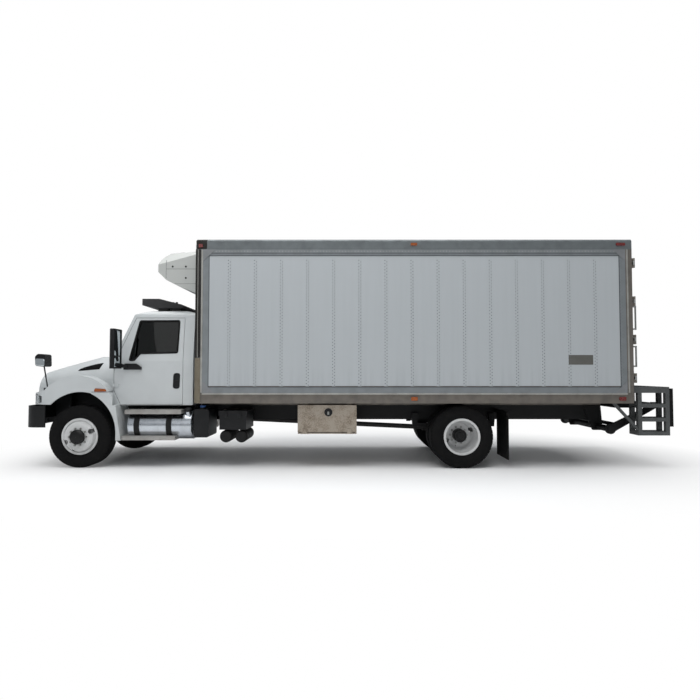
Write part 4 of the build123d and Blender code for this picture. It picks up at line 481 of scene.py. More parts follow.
@dataclass(frozen=True)
class Lens(Finish):
    """Moulded lamp lens: clear coloured plastic with fine upright flutes."""

    clear: float = 0.35
    flute_mm: float = 9.0
    flute_deep_mm: float = 0.8

    def weave(self, tree: Tree, place: Socket) -> dict:
        """Flute the lens, darken the flutes' troughs as painted shade, and let some light in.

        Args:
            tree: The material's tree.
            place: Object coordinates, in metres.

        Returns:
            What feeds each input of the surface shader.
        """
        scale = WAVE_SCALE / (self.flute_mm * MM)
        flutes = add_node(tree, "ShaderNodeTexWave", {
            "Vector": place, "Scale": scale}, out=1, bands_direction="X")
        # Darker in the flutes' troughs, following their bump: painted shade.
        colour = add_node(tree, "ShaderNodeMix", {
            0: flutes, 6: toned(self.colour, 0.6), 7: linear(self.colour)}, out=2, data_type="RGBA")
        normal = add_node(tree, "ShaderNodeBump", {
            "Height": flutes, "Strength": BUMP, "Distance": self.flute_deep_mm * MM})
        return {"Base Color": colour, "Normal": normal, "Transmission Weight": self.clear, "Coat Weight": 0.8,
                "Coat Roughness": 0.05}


@dataclass(frozen=True)
class Cloth(Finish):
    """Woven seat cloth: a plain weave of thick yarn."""

    yarn_mm: float = 6.0
    yarn_deep_mm: float = 0.8

    def weave(self, tree: Tree, place: Socket) -> dict:
        """Cross two sets of yarns, with painted shade where they part.

        Args:
            tree: The material's tree.
            place: Object coordinates, in metres.

        Returns:
            What feeds each input of the surface shader.
        """
        scale = WAVE_SCALE / (self.yarn_mm * MM)
        warp = add_node(tree, "ShaderNodeTexWave", {
            "Vector": place, "Scale": scale}, out=1, bands_direction="Y")
        weft = add_node(tree, "ShaderNodeTexWave", {
            "Vector": place, "Scale": scale}, out=1, bands_direction="Z")
        yarn = add_node(tree, "ShaderNodeMath", {0: warp, 1: weft}, operation="MULTIPLY")
        # Darker where the yarns dip, following their bump: painted shade between the yarns.
        colour = add_node(tree, "ShaderNodeMix", {
            0: yarn, 6: toned(self.colour, 0.55), 7: linear(self.colour)}, out=2, data_type="RGBA")
        normal = add_node(tree, "ShaderNodeBump", {
            "Height": yarn, "Strength": BUMP, "Distance": self.yarn_deep_mm * MM})
        return {"Base Color": colour, "Normal": normal, "Sheen Weight": 0.3}


@dataclass(frozen=True)
class Silvered(Finish):
    """Silvered mirror glass, with a film of dust on it."""

    film_mm: float = 60.0

    def weave(self, tree: Tree, place: Socket) -> dict:
        """Silver it and film it.

        Args:
            tree: The material's tree.
            place: Object coordinates, in metres.

        Returns:
            What feeds each input of the surface shader.
        """
        film = add_node(tree, "ShaderNodeTexNoise", {
            "Vector": place, "Scale": 1 / (self.film_mm * MM), "Detail": 5.0})
        rough = add_node(tree, "ShaderNodeMapRange", {
            "Value": film, "From Min": 0.45, "From Max": 0.8, "To Min": self.roughness, "To Max": 0.18})
        return {"Roughness": rough, "Metallic": 1.0}


class Palette:
    """Every finish on the truck, in a maker's plain words."""

    CAB_WHITE = Enamel("cab_white_enamel", "#c6cacb", 0.28)
    WHEEL_WHITE = Enamel("wheel_white_enamel", "#cfd0d0", 0.42, dust="#7d7b76", dust_top=1.0, dust_low=0.2)
    FRAME_BLACK = Enamel("frame_black_paint", "#101113", 0.5, dust="#262421", coat=0.0, specular=0.25)
    BUMPER_BLACK = Enamel("bumper_black_enamel", "#0b0c0e", 0.34, dust="#222120", coat=0.05,
                          dust_share=0.25, specular=0.3)
    HUB_BLACK = Enamel("hub_black_enamel", "#0a0b0c", 0.4, dust="#1e1d1c", coat=0.0,
                       dust_share=0.3, specular=0.3)
    BOX_PANEL = PanelSheet("box_prepainted_sheet", "#b0b5b8", 0.42)
    BOX_SEAM = PanelSheet("box_seam_sheet", "#afb4b7", 0.43)
    BOX_RAIL = Extrusion("box_rail_mill_aluminium", "#767069", 0.5)
    # The top rail's dark grey is painted shade on its cove under the roof edge.
    BOX_TOP_RAIL = Extrusion("box_top_rail_dark_aluminium", "#6c7274", 0.55, oxide="#5c6163", metal=0.35)
    BRIGHT_TRIM = Extrusion("bright_aluminium_trim", "#a8a7a2", 0.4, oxide="#86837d")
    STEP_ALUMINIUM = Extrusion("step_aluminium", "#a7a5a2", 0.42, oxide="#85827d")
    RIVET = Extrusion("dull_rivet_heads", "#666b6e", 0.55, oxide="#5a5e60", metal=0.1)
    BAND = Extrusion("box_band_aluminium", "#7f8487", 0.5, oxide="#74797b", metal=0.3)
    GUSSET = Extrusion("corner_gusset_aluminium", "#85878a", 0.5, oxide="#777a7a", metal=0.35)
    STEP_FRAME = Extrusion("step_frame_galvanised_steel", "#595b5b", 0.55, oxide="#4a4b4a", metal=0.4)
    PLACARD = Extrusion("bare_grey_plate", "#62615d", 0.55, oxide="#585752", metal=0.2)
    ZINC = Extrusion("zinc_plated_steel", "#a2a3a1", 0.4, oxide="#7d7c78", metal=0.85)
    TANK = PolishedTank("polished_tank_aluminium", "#c0c5cb", 0.22)
    CANISTER = Stainless("canister_stainless", "#95928d", 0.38, stain_share=0.4)
    TOOLBOX = Stainless("toolbox_weathered_stainless", "#a49a8d", 0.45)
    POST_TAN = Stainless("tan_post_foot", "#7b7364", 0.55, stain="#615747", stain_share=0.4)
    BLACK_PLASTIC = Moulded("moulded_black_plastic", "#0e0f11", 0.5, chalk=0.1, specular=0.3)
    ROOF_UNIT = Moulded("roof_unit_dark_moulding", "#2d2c2d", 0.6)
    CABIN_TRIM = Moulded("cabin_grained_trim", "#242527", 0.65, grain_mm=5.0, grain_depth=0.5)
    COOLER = Moulded("cooler_light_skin", "#b7b9b6", 0.42, grain_mm=8.0, grain_depth=0.08)
    IRON = Moulded("sand_cast_iron", "#2c2b2a", 0.7, grain_mm=6.0, grain_depth=0.8)
    # Near black that stands for the shade inside vents, slots and lamp backs and in the gaps behind grille
    # and bumper: painted shade.
    SHADOW = Moulded("deep_recess_black", "#060607", 0.85, chalk=0.05, specular=0.15)
    POST_DARK = Moulded("dark_corner_post", "#211f1d", 0.55, chalk=0.1, specular=0.25)
    CAP_BLUE = Moulded("blue_cap_plastic", "#1f4f8f", 0.45)
    TYRE = Rubber("tyre_rubber", "#0b0b0c", 0.75, bloom="#1b1a19")
    RUBBER = Rubber("moulded_rubber", "#0f0f10", 0.7)
    # Dark lines in the gaps between panels and mouldings: painted shade.
    GAP_SHADE = Rubber("dark_sealant_line", "#45494c", 0.7, bloom="#383c3e")
    GLASS = Pane("tinted_safety_glass", "#22352c", 0.01)
    CLEAR = Pane("clear_lamp_lens", "#e6eaeb", 0.02)
    AMBER = Lens("amber_lens", "#c8641c", 0.2)
    RED = Lens("red_lens", "#8c1712", 0.2)
    MIRROR = Silvered("mirror_silvering", "#cfd6d9", 0.02)
    SEAT = Cloth("seat_woven_cloth", "#35363a", 0.9)


SLOT_FINISHES: dict[str, Finish] = {
    "frame_black": Palette.FRAME_BLACK, "shaft_grey": Palette.IRON, "bumper_black": Palette.BUMPER_BLACK,
    "cab_white": Palette.CAB_WHITE, "wheel_white": Palette.WHEEL_WHITE, "tyre": Palette.TYRE,
    "glass": Palette.GLASS, "cabin_grey": Palette.CABIN_TRIM, "seat_cloth": Palette.SEAT,
    "black_plastic": Palette.BLACK_PLASTIC, "tank_aluminium": Palette.TANK,
    "canister_steel": Palette.CANISTER,
    "air_tank_grey": Palette.FRAME_BLACK, "toolbox_steel": Palette.TOOLBOX, "unit_grey": Palette.ROOF_UNIT,
    "box_white": Palette.BOX_PANEL, "box_rail": Palette.BOX_RAIL, "lamp_lens": Palette.AMBER,
    "head_lens": Palette.CLEAR, "cooler_grey": Palette.COOLER, "rubber": Palette.RUBBER,
    "tread_steel": Palette.FRAME_BLACK,
}

# The roof takes the top rail's painted shade; RearEnd gives its upward faces the pale sheet.
NODE_FINISHES: dict[str, Finish] = {"box_roof": Palette.BOX_TOP_RAIL, "rear_steps": Palette.STEP_FRAME}


class Shape:
    """A mesh in the making, in metres, with the moves that the truck's pieces share."""

    def __init__(self) -> None:
        """Start with nothing."""
        self.mesh = bmesh.new()

    def everything(self) -> list:
        """All vertices, edges and faces so far."""
        return self.mesh.verts[:] + self.mesh.edges[:] + self.mesh.faces[:]

    def round_edges(self, edges: list, width: float, steps: int = 2) -> None:
        """Round edges by a width.

        Args:
            edges: The edges to round.
            width: How far the rounding reaches.
            steps: How many strips it has.
        """
        bmesh.ops.bevel(self.mesh, geom=edges, offset=width, offset_type="OFFSET", segments=steps,
                        profile=0.5, affect="EDGES", clamp_overlap=True, material=-1)

    def block(self, low: Point, high: Point, rounding: float = 0.0, steps: int = 2) -> None:
        """Add a straight block between two corners.

        Args:
            low: Its lowest corner.
            high: Its highest corner.
            rounding: The width of its rounded edges, or 0 for sharp ones.
            steps: The strips of the rounding.
        """
        verts = bmesh.ops.create_cube(self.mesh, size=1.0)["verts"]
        bmesh.ops.scale(self.mesh, vec=Vector(high) - Vector(low), verts=verts)
        bmesh.ops.translate(self.mesh, vec=(Vector(high) + Vector(low)) / 2, verts=verts)
        if rounding:
            edges = dict.fromkeys(edge for vert in verts for edge in vert.link_edges)
            self.round_edges(list(edges), rounding, steps)

    def bar(self, start: Point, end: Point, radius: float, sides: int = 12,
            end_radius: float | None = None) -> None:
        """Add a round bar, or a cone where its end has another radius.

        Args:
            start: The middle of its foot.
            end: The middle of its end.
            radius: Its radius at the foot.
            sides: How many flats it has round it.
            end_radius: Its radius at the end, if another.
        """
        run = Vector(end) - Vector(start)
        turn = run.to_track_quat("Z", "Y").to_matrix().to_4x4()
        place = Matrix.Translation((Vector(start) + Vector(end)) / 2) @ turn
        far = radius if end_radius is None else end_radius
        bmesh.ops.create_cone(self.mesh, cap_ends=True, cap_tris=False, segments=sides, radius1=radius,
                              radius2=far, depth=run.length, matrix=place)

    def ball(self, centre: Point, radius: float, sides: int) -> None:
        """Add a ball."""
        bmesh.ops.create_uvsphere(self.mesh, u_segments=sides, v_segments=sides // 2, radius=radius,
                                  matrix=Matrix.Translation(centre))

    def pipe(self, points: Sequence[Point], radius: float, sides: int = 10) -> None:
        """Add a bent pipe: straight runs with a ball in every bend.

        Args:
            points: Its ends and bends in order.
            radius: Its radius.
            sides: How many flats it has round it.
        """
        for start, end in zip(points, points[1:]):
            self.bar(start, end, radius, sides)
        for point in points[1:-1]:
            self.ball(point, radius, sides)

    def outline(self, corners: Iterable[Point]) -> bmesh.types.BMFace:
        """Add a flat face from its corners."""
        return self.mesh.faces.new([self.mesh.verts.new(corner) for corner in corners])

    def raise_face(self, face: bmesh.types.BMFace, rise: Point) -> list:
        """Extrude a face.

        Args:
            face: The face.
            rise: How far and which way.

        Returns:
            The faces of its lid.
        """
        made = bmesh.ops.extrude_face_region(self.mesh, geom=[face])["geom"]
        top = [part for part in made if isinstance(part, bmesh.types.BMVert)]
        bmesh.ops.translate(self.mesh, vec=rise, verts=top)
        return [part for part in made if isinstance(part, bmesh.types.BMFace)]

    def plate(self, corners: Iterable[Point], depth: Point, rounding: float = 0.0) -> None:
        """Add a flat plate from its corners.

        Args:
            corners: Its outline in order.
            depth: How far and which way it is thickened.
            rounding: The width of its rounded far edge, or 0 for a sharp one.
        """
        lid = self.raise_face(self.outline(corners), depth)
        if rounding:
            self.round_edges(list(dict.fromkeys(edge for part in lid for edge in part.edges)), rounding)

    def frame_ring(self, corners: Sequence[Point], width: float, depth: float, drop: float) -> None:
        """Add a flat frame round a closed outline, raised off it and sloping in.

        Args:
            corners: The outer outline, in order.
            width: How wide the frame is.
            depth: How thick it is at its outer edge, along the outline's normal.
            drop: How far its inner edge lies below its outer edge.
        """
        face = self.outline(corners)
        face.normal_update()
        lid = self.raise_face(face, face.normal * depth)
        bmesh.ops.inset_region(self.mesh, faces=lid, thickness=width, depth=-drop, use_even_offset=True)
        base = [part for part in (*lid, face) if part.is_valid]
        bmesh.ops.delete(self.mesh, geom=base, context="FACES_ONLY")

    def spin(self, profile: Sequence[Span], centre: Point, steps: int, closed: bool = False) -> None:
        """Turn a profile about the Y axis through centre.

        Args:
            profile: Pairs of radius and Y offset from the centre.
            centre: The turning centre.
            steps: How many steps make the full turn.
            closed: Whether the profile's last point joins its first.
        """
        middle = Vector(centre)
        verts = [self.mesh.verts.new(middle + Vector((0, along, radius))) for radius, along in profile]
        pairs = list(zip(verts, verts[1:])) + ([(verts[-1], verts[0])] if closed else [])
        edges = [self.mesh.edges.new(pair) for pair in pairs]
        bmesh.ops.spin(self.mesh, geom=verts + edges, cent=middle, axis=(0, 1, 0), angle=math.tau,
                       steps=steps, use_merge=True, use_duplicate=False)

    def copies(self, count: int) -> Iterator[tuple[int, list]]:
        """Copy everything so far until there are count of it.

        Args:
            count: How many there are in the end.

        Yields:
            Each copy's number and its vertices.
        """
        source = self.everything()
        for turn in range(1, count):
            copy = bmesh.ops.duplicate(self.mesh, geom=source)["geom"]
            yield turn, [part for part in copy if isinstance(part, bmesh.types.BMVert)]

    def repeat(self, count: int, step: Point) -> None:
        """Copy everything so far, each copy a step further on."""
        for turn, verts in self.copies(count):
            bmesh.ops.translate(self.mesh, vec=Vector(step) * turn, verts=verts)

    def repeat_round(self, count: int, centre: Point) -> None:
        """Copy everything so far round the Y axis.

        Args:
            count: How many there are in a full turn.
            centre: A point on the axis.
        """
        for turn, verts in self.copies(count):
            spun = Matrix.Rotation(math.tau * turn / count, 3, "Y")
            bmesh.ops.rotate(self.mesh, cent=centre, matrix=spun, verts=verts)

    def both_sides(self) -> None:
        """Copy everything so far to the truck's other side."""
        bmesh.ops.mirror(self.mesh, geom=self.everything(), matrix=Matrix.Identity(4), merge_dist=0.0,
                         axis="Y")

    def to_side(self, side: Side) -> None:
        """Turn everything over to the given side, if it was made on the left."""
        if side is Side.RIGHT:
            bmesh.ops.scale(self.mesh, vec=(1, -1, 1), verts=self.mesh.verts[:])

    def piece(self, name: str, body: str, finish: Finish, slot: str,
              weld: bool = False) -> bpy.types.Object:
        """Close the mesh and make it a piece that rides on a body.

        Args:
            name: The piece's name.
            body: The body that it rides on.
            finish: What it is finished in.
            slot: The record's material slot that it belongs to; not used.
            weld: Whether coincident points are merged first.

        Returns:
            The new object.
        """
        if weld:
            bmesh.ops.remove_doubles(self.mesh, verts=self.mesh.verts[:], dist=1e-6)
        bmesh.ops.recalc_face_normals(self.mesh, faces=self.mesh.faces[:])
        for face in self.mesh.faces:
            face.smooth = True
        data = bpy.data.meshes.new(name)
        self.mesh.to_mesh(data)
        self.mesh.free()
        data.set_sharp_from_angle(angle=FLAT_ANGLE)
        made = bpy.data.objects.new(name, data)
        bpy.context.scene.collection.objects.link(made)
        data.materials.append(finish.material())
        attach(made, body)
        LOG.info("%s: %d faces on %s", name, len(data.polygons), body)
        return made


@dataclass(frozen=True)
class SoftLamp:
    """A round area lamp: where it stands, what it points at, its width and its power."""

    name: str
    place: Place
    aim: Place
    size: float
    power: float


@dataclass
class Studio:
    """A pale floor, soft light and the camera at the photograph's place."""

    eye: Place = (-0.092, 9.295, 1.616)
    focal_px: float = 480.0
    picture_px: float = 700.0
    sensor_mm: float = 36.0
    horizon_px: float = 372.0
    pitch_deg: float = 1.9
    view_reach: float = 500.0
    floor_half: float = 90.0
    floor_colour: str = "#f4f4f4"
    backdrop: str = "#ffffff"
    fade_from: float = 2.6
    fade_to: float = 4.6
    fade_length_share: float = 0.62
    sky_colour: str = "#eef2f6"
    sky: float = 0.42
    lamp_set: tuple[SoftLamp, ...] = (
        SoftLamp("overhead", (1.0, 1.5, 11.0), (0.0, 0.0, 0.5), 14.0, 1500.0),
        SoftLamp("camera_side", (4.0, 15.0, 7.0), (0.0, 0.0, 1.6), 10.0, 150.0),
        SoftLamp("far_side", (-3.0, -15.0, 7.0), (0.0, 0.0, 1.6), 10.0, 150.0))

    def build(self) -> None:
        """Set the view, the world, the floor, the lamps and the camera."""
        bpy.context.scene.view_settings.view_transform = "Standard"
        self.world()
        self.floor()
        self.lamps()
        self.camera()

    def world(self) -> None:
        """A white backdrop to the eye, and an even pale sky as light."""
        world = bpy.data.worlds.new("studio_world")
        bpy.context.scene.world = world
        world.use_nodes = True
        tree = world.node_tree
        tree.nodes.clear()
        light = add_node(tree, "ShaderNodeBackground", {
            "Color": linear(self.sky_colour), "Strength": self.sky})
        white = add_node(tree, "ShaderNodeBackground", {"Color": linear(self.backdrop), "Strength": 1.0})
        seen = add_node(tree, "ShaderNodeLightPath")
        mixed = add_node(tree, "ShaderNodeMixShader", {0: seen, 1: light, 2: white})
        add_node(tree, "ShaderNodeOutputWorld", {"Surface": mixed})

    def floor(self) -> None:
        """A pale floor that keeps the shadow near the truck and fades to white far out."""
        made = bmesh.new()
        bmesh.ops.create_grid(made, x_segments=1, y_segments=1, size=self.floor_half)
        data = bpy.data.meshes.new("floor")
        made.to_mesh(data)
        made.free()
        floor = bpy.data.objects.new("floor", data)
        bpy.context.scene.collection.objects.link(floor)
        material = bpy.data.materials.new("studio_floor")
        material.use_nodes = True
        tree = material.node_tree
        tree.nodes.clear()
        matt = add_node(tree, "ShaderNodeBsdfDiffuse", {"Color": linear(self.floor_colour)})
        white = add_node(tree, "ShaderNodeEmission", {"Color": linear(self.backdrop), "Strength": 1.0})
        place = add_node(tree, "ShaderNodeTexCoord", out=OBJECT_OUT)
        squash = add_node(tree, "ShaderNodeMapping", {
            "Vector": place, "Scale": (self.fade_length_share, 1.0, 1.0)})
        reach = add_node(tree, "ShaderNodeVectorMath", {0: squash}, out=1, operation="LENGTH")
        fade = add_node(tree, "ShaderNodeMapRange", {
            "Value": reach, "From Min": self.fade_from, "From Max": self.fade_to})
        seen = add_node(tree, "ShaderNodeLightPath")
        share = add_node(tree, "ShaderNodeMath", {0: fade, 1: seen}, operation="MULTIPLY")
        mixed = add_node(tree, "ShaderNodeMixShader", {0: share, 1: matt, 2: white})
        add_node(tree, "ShaderNodeOutputMaterial", {"Surface": mixed})
        data.materials.append(material)

    def lamps(self) -> None:
        """A broad soft lamp overhead, one from the camera's side and one from behind."""
        for row in self.lamp_set:
            data = bpy.data.lights.new(row.name, "AREA")
            data.shape = "DISK"
            data.size = row.size
            data.energy = row.power
            lamp = bpy.data.objects.new(row.name, data)
            lamp.location = row.place
            lamp.rotation_euler = (Vector(row.aim) - Vector(row.place)).to_track_quat("-Z", "Y").to_euler()
            bpy.context.scene.collection.objects.link(lamp)

    def camera(self) -> None:
        """A camera abeam of the truck, with the photograph's height, reach and horizon."""
        data = bpy.data.cameras.new("camera")
        data.sensor_width = self.sensor_mm
        data.lens = self.focal_px / self.picture_px * self.sensor_mm
        data.clip_end = self.view_reach
        tilt = math.tan(math.radians(self.pitch_deg)) * self.focal_px
        data.shift_y = (self.horizon_px - self.picture_px / 2 - tilt) / self.picture_px
        camera = bpy.data.objects.new("camera", data)
        camera.location = self.eye
        camera.rotation_euler = (math.radians(90 + self.pitch_deg), 0.0, math.pi)
        bpy.context.scene.collection.objects.link(camera)
        bpy.context.scene.camera = camera


def dress_nodes() -> None:
    """Give every CAD node the finish of its material slot."""
    for row in frame["record"]["subparts"]:
        data = frame["nodes"][row["node"]].data
        finish = NODE_FINISHES.get(row["node"], SLOT_FINISHES[row["material_slot"]])
        data.materials.clear()
        data.materials.append(finish.material())


@dataclass
class Tyres:
    """The tyres of one wheel body: bulged sidewalls, plain middle ribs and a row of lugs on each shoulder."""

    name: str
    body: str
    axle_x: float
    first_y: float
    count: int
    spacing: float = 2 * DUAL_HALF
    bead_radius: float = 0.2866
    lip_radius: float = 0.312
    bulge_radius: float = 0.411
    shoulder_radius: float = 0.504
    groove_radius: float = 0.513
    tread_radius: float = 0.526
    bead_half: float = 0.104
    bulge_half: float = 0.1395
    shoulder_half: float = 0.121
    ridges: Rows = ((0.342, 0.350, 0.0014), (0.471, 0.480, 0.0012))
    ridge_foot: float = 0.001
    wall_radii: Row = (0.325, 0.372, 0.392, 0.411, 0.432, 0.452, 0.494, 0.504)
    rib_edges: Row = (0.114, 0.0655, 0.0635, 0.0285, 0.0265, 0.0195, 0.0175)
    lug: Spans = ((0.511, 0.0715), (0.526, 0.0735), (0.526, 0.103), (0.518, 0.1145),
                  (0.500, 0.1235), (0.497, 0.112))
    lugs: int = 54
    lug_half: float = 0.026
    steps: int = 96

    def wall(self, radius: float) -> float:
        """Find how far the sidewall bulges.

        Args:
            radius: How far from the axle.

        Returns:
            The sidewall's distance from the tyre's middle plane.
        """
        reach = self.lip_radius if radius < self.bulge_radius else self.shoulder_radius
        fall = self.bulge_half - (self.bead_half if radius < self.bulge_radius else self.shoulder_half)
        return self.bulge_half - fall * ((radius - self.bulge_radius) / (reach - self.bulge_radius)) ** 2

    def profile(self) -> list[Span]:
        """Draw the carcass in section.

        Returns:
            Pairs of radius and offset from the middle plane, in order.
        """
        rises = {radius: 0.0 for radius in self.wall_radii}
        for start, end, rise in self.ridges:
            rises.update({start - self.ridge_foot: 0.0, start: rise, end: rise, end + self.ridge_foot: 0.0})
        half = [(self.bead_radius, self.bead_half), (self.lip_radius, self.bead_half)]
        half += [(radius, self.wall(radius) + rises[radius]) for radius in sorted(rises)]
        low, high = self.groove_radius, self.tread_radius
        half += zip((low, low, high, high, low, low, high), self.rib_edges)
        return half + [(radius, -along) for radius, along in reversed(half)]

    def build(self) -> None:
        """Set the lugs round both shoulders, turn the carcass, and repeat it for a twin."""
        shape = Shape()
        middle = (self.axle_x, self.first_y, AXLE_Z)
        for side in Side:
            corners = [(self.axle_x - self.lug_half, self.first_y + side.value * along,
                        AXLE_Z + math.sqrt(radius ** 2 - self.lug_half ** 2)) for radius, along in self.lug]
            shape.plate(corners, (2 * self.lug_half, 0, 0))
        shape.repeat_round(self.lugs, middle)
        shape.spin(self.profile(), middle, self.steps, closed=True)
        shape.repeat(self.count, (0, self.spacing, 0))
        made = shape.piece(f"{self.name}_tread", self.body, Palette.TYRE, "tyre", weld=True)
        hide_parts(self.name)


@dataclass
class WheelTrim:
    """The black hub cover, the nuts on their studs and the valve of one wheel body."""

    name: str
    body: str
    side: Side
    axle_x: float
    face_y: float
    hub: Spans
    flange_radius: float
    flange_y: float
    flange_bolts: int = 8
    flange_bolt: float = 0.009
    tip_radius: float = 0.001
    hub_steps: int = 48
    valve_radius: float = 0.225
    valve_x: float = 0.06
    valve_bends: Spans = ((-0.03, 0.0), (0.015, 0.0), (0.045, 0.02))
    valve_thick: float = 0.005
    nuts: int = 10
    nut_circle: float = 0.1429
    nut_steps: Rows = ((0.0, 0.004, 0.02, 16), (0.003, 0.022, 0.0165, 6), (0.022, 0.034, 0.009, 10))

    def build(self) -> None:
        """Turn the cover, then set the nuts, studs and valve."""
        centre = (self.axle_x, 0, AXLE_Z)
        cover = Shape()
        bolt_z = AXLE_Z + self.flange_radius
        cover.bar((self.axle_x, self.flange_y - 0.002, bolt_z),
                  (self.axle_x, self.flange_y + self.flange_bolt, bolt_z), self.flange_bolt, 6)
        cover.repeat_round(self.flange_bolts, centre)
        cover.spin([*self.hub, (self.tip_radius, self.hub[-1][1])], centre, self.hub_steps)
        nut = Shape()
        at_x = self.axle_x + self.nut_circle
        for start, end, radius, sides in self.nut_steps:
            nut.bar((at_x, self.face_y + start, AXLE_Z), (at_x, self.face_y + end, AXLE_Z), radius, sides)
        nut.repeat_round(self.nuts, centre)
        valve = Shape()
        valve.pipe([(self.axle_x + self.valve_x, self.face_y + out, AXLE_Z - self.valve_radius + up)
                    for out, up in self.valve_bends], self.valve_thick, 8)
        for shape, name, finish, slot in ((cover, "hub_cover", Palette.HUB_BLACK, "black_plastic"),
                                          (nut, "nuts", Palette.ZINC, "shaft_grey"),
                                          (valve, "valve", Palette.BLACK_PLASTIC, "black_plastic")):
            shape.to_side(self.side)
            shape.piece(f"{self.name}_{name}", self.body, finish, slot, weld=True)


@dataclass
class RunningGear:
    """Every tyre and the trim of every wheel."""

    front_face_y: float = FRONT_TYRE_Y + DUAL_HALF
    front_hub: Spans = ((0.1215, -0.002), (0.1215, 0.0365), (0.0985, 0.0635), (0.0715, 0.0735))
    front_flange: Span = (0.085, 0.0685)
    rear_hub: Spans = ((0.1115, 0.011), (0.1115, 0.151), (0.0985, 0.168), (0.0645, 0.1685), (0.058, 0.184))
    rear_flange: Span = (0.081, 0.168)
    rear_face: float = 0.012
    rear_valve_radius: float = 0.19

    def build(self) -> None:
        """Dress the front and rear wheels of both sides."""
        front_hub = tuple((radius, self.front_face_y + out) for radius, out in self.front_hub)
        rear_hub = tuple((radius, REAR_HUB_Y + out) for radius, out in self.rear_hub)
        for side in Side:
            front = f"front_wheel_{side.label}_body"
            rear = f"rear_wheels_{side.label}_body"
            Tyres(f"front_tyre_{side.label}", front, FRONT_AXLE_X, side.value * FRONT_TYRE_Y, 1).build()
            inner = side.value * REAR_HUB_Y - DUAL_HALF
            Tyres(f"rear_tyres_{side.label}", rear, REAR_AXLE_X, inner, 2).build()
            radius, out = self.front_flange
            WheelTrim(f"front_wheel_{side.label}", front, side, FRONT_AXLE_X, self.front_face_y, front_hub,
                      radius, self.front_face_y + out).build()
            radius, out = self.rear_flange
            WheelTrim(f"rear_wheels_{side.label}", rear, side, REAR_AXLE_X, REAR_HUB_Y + self.rear_face,
                      rear_hub, radius, REAR_HUB_Y + out, valve_radius=self.rear_valve_radius).build()


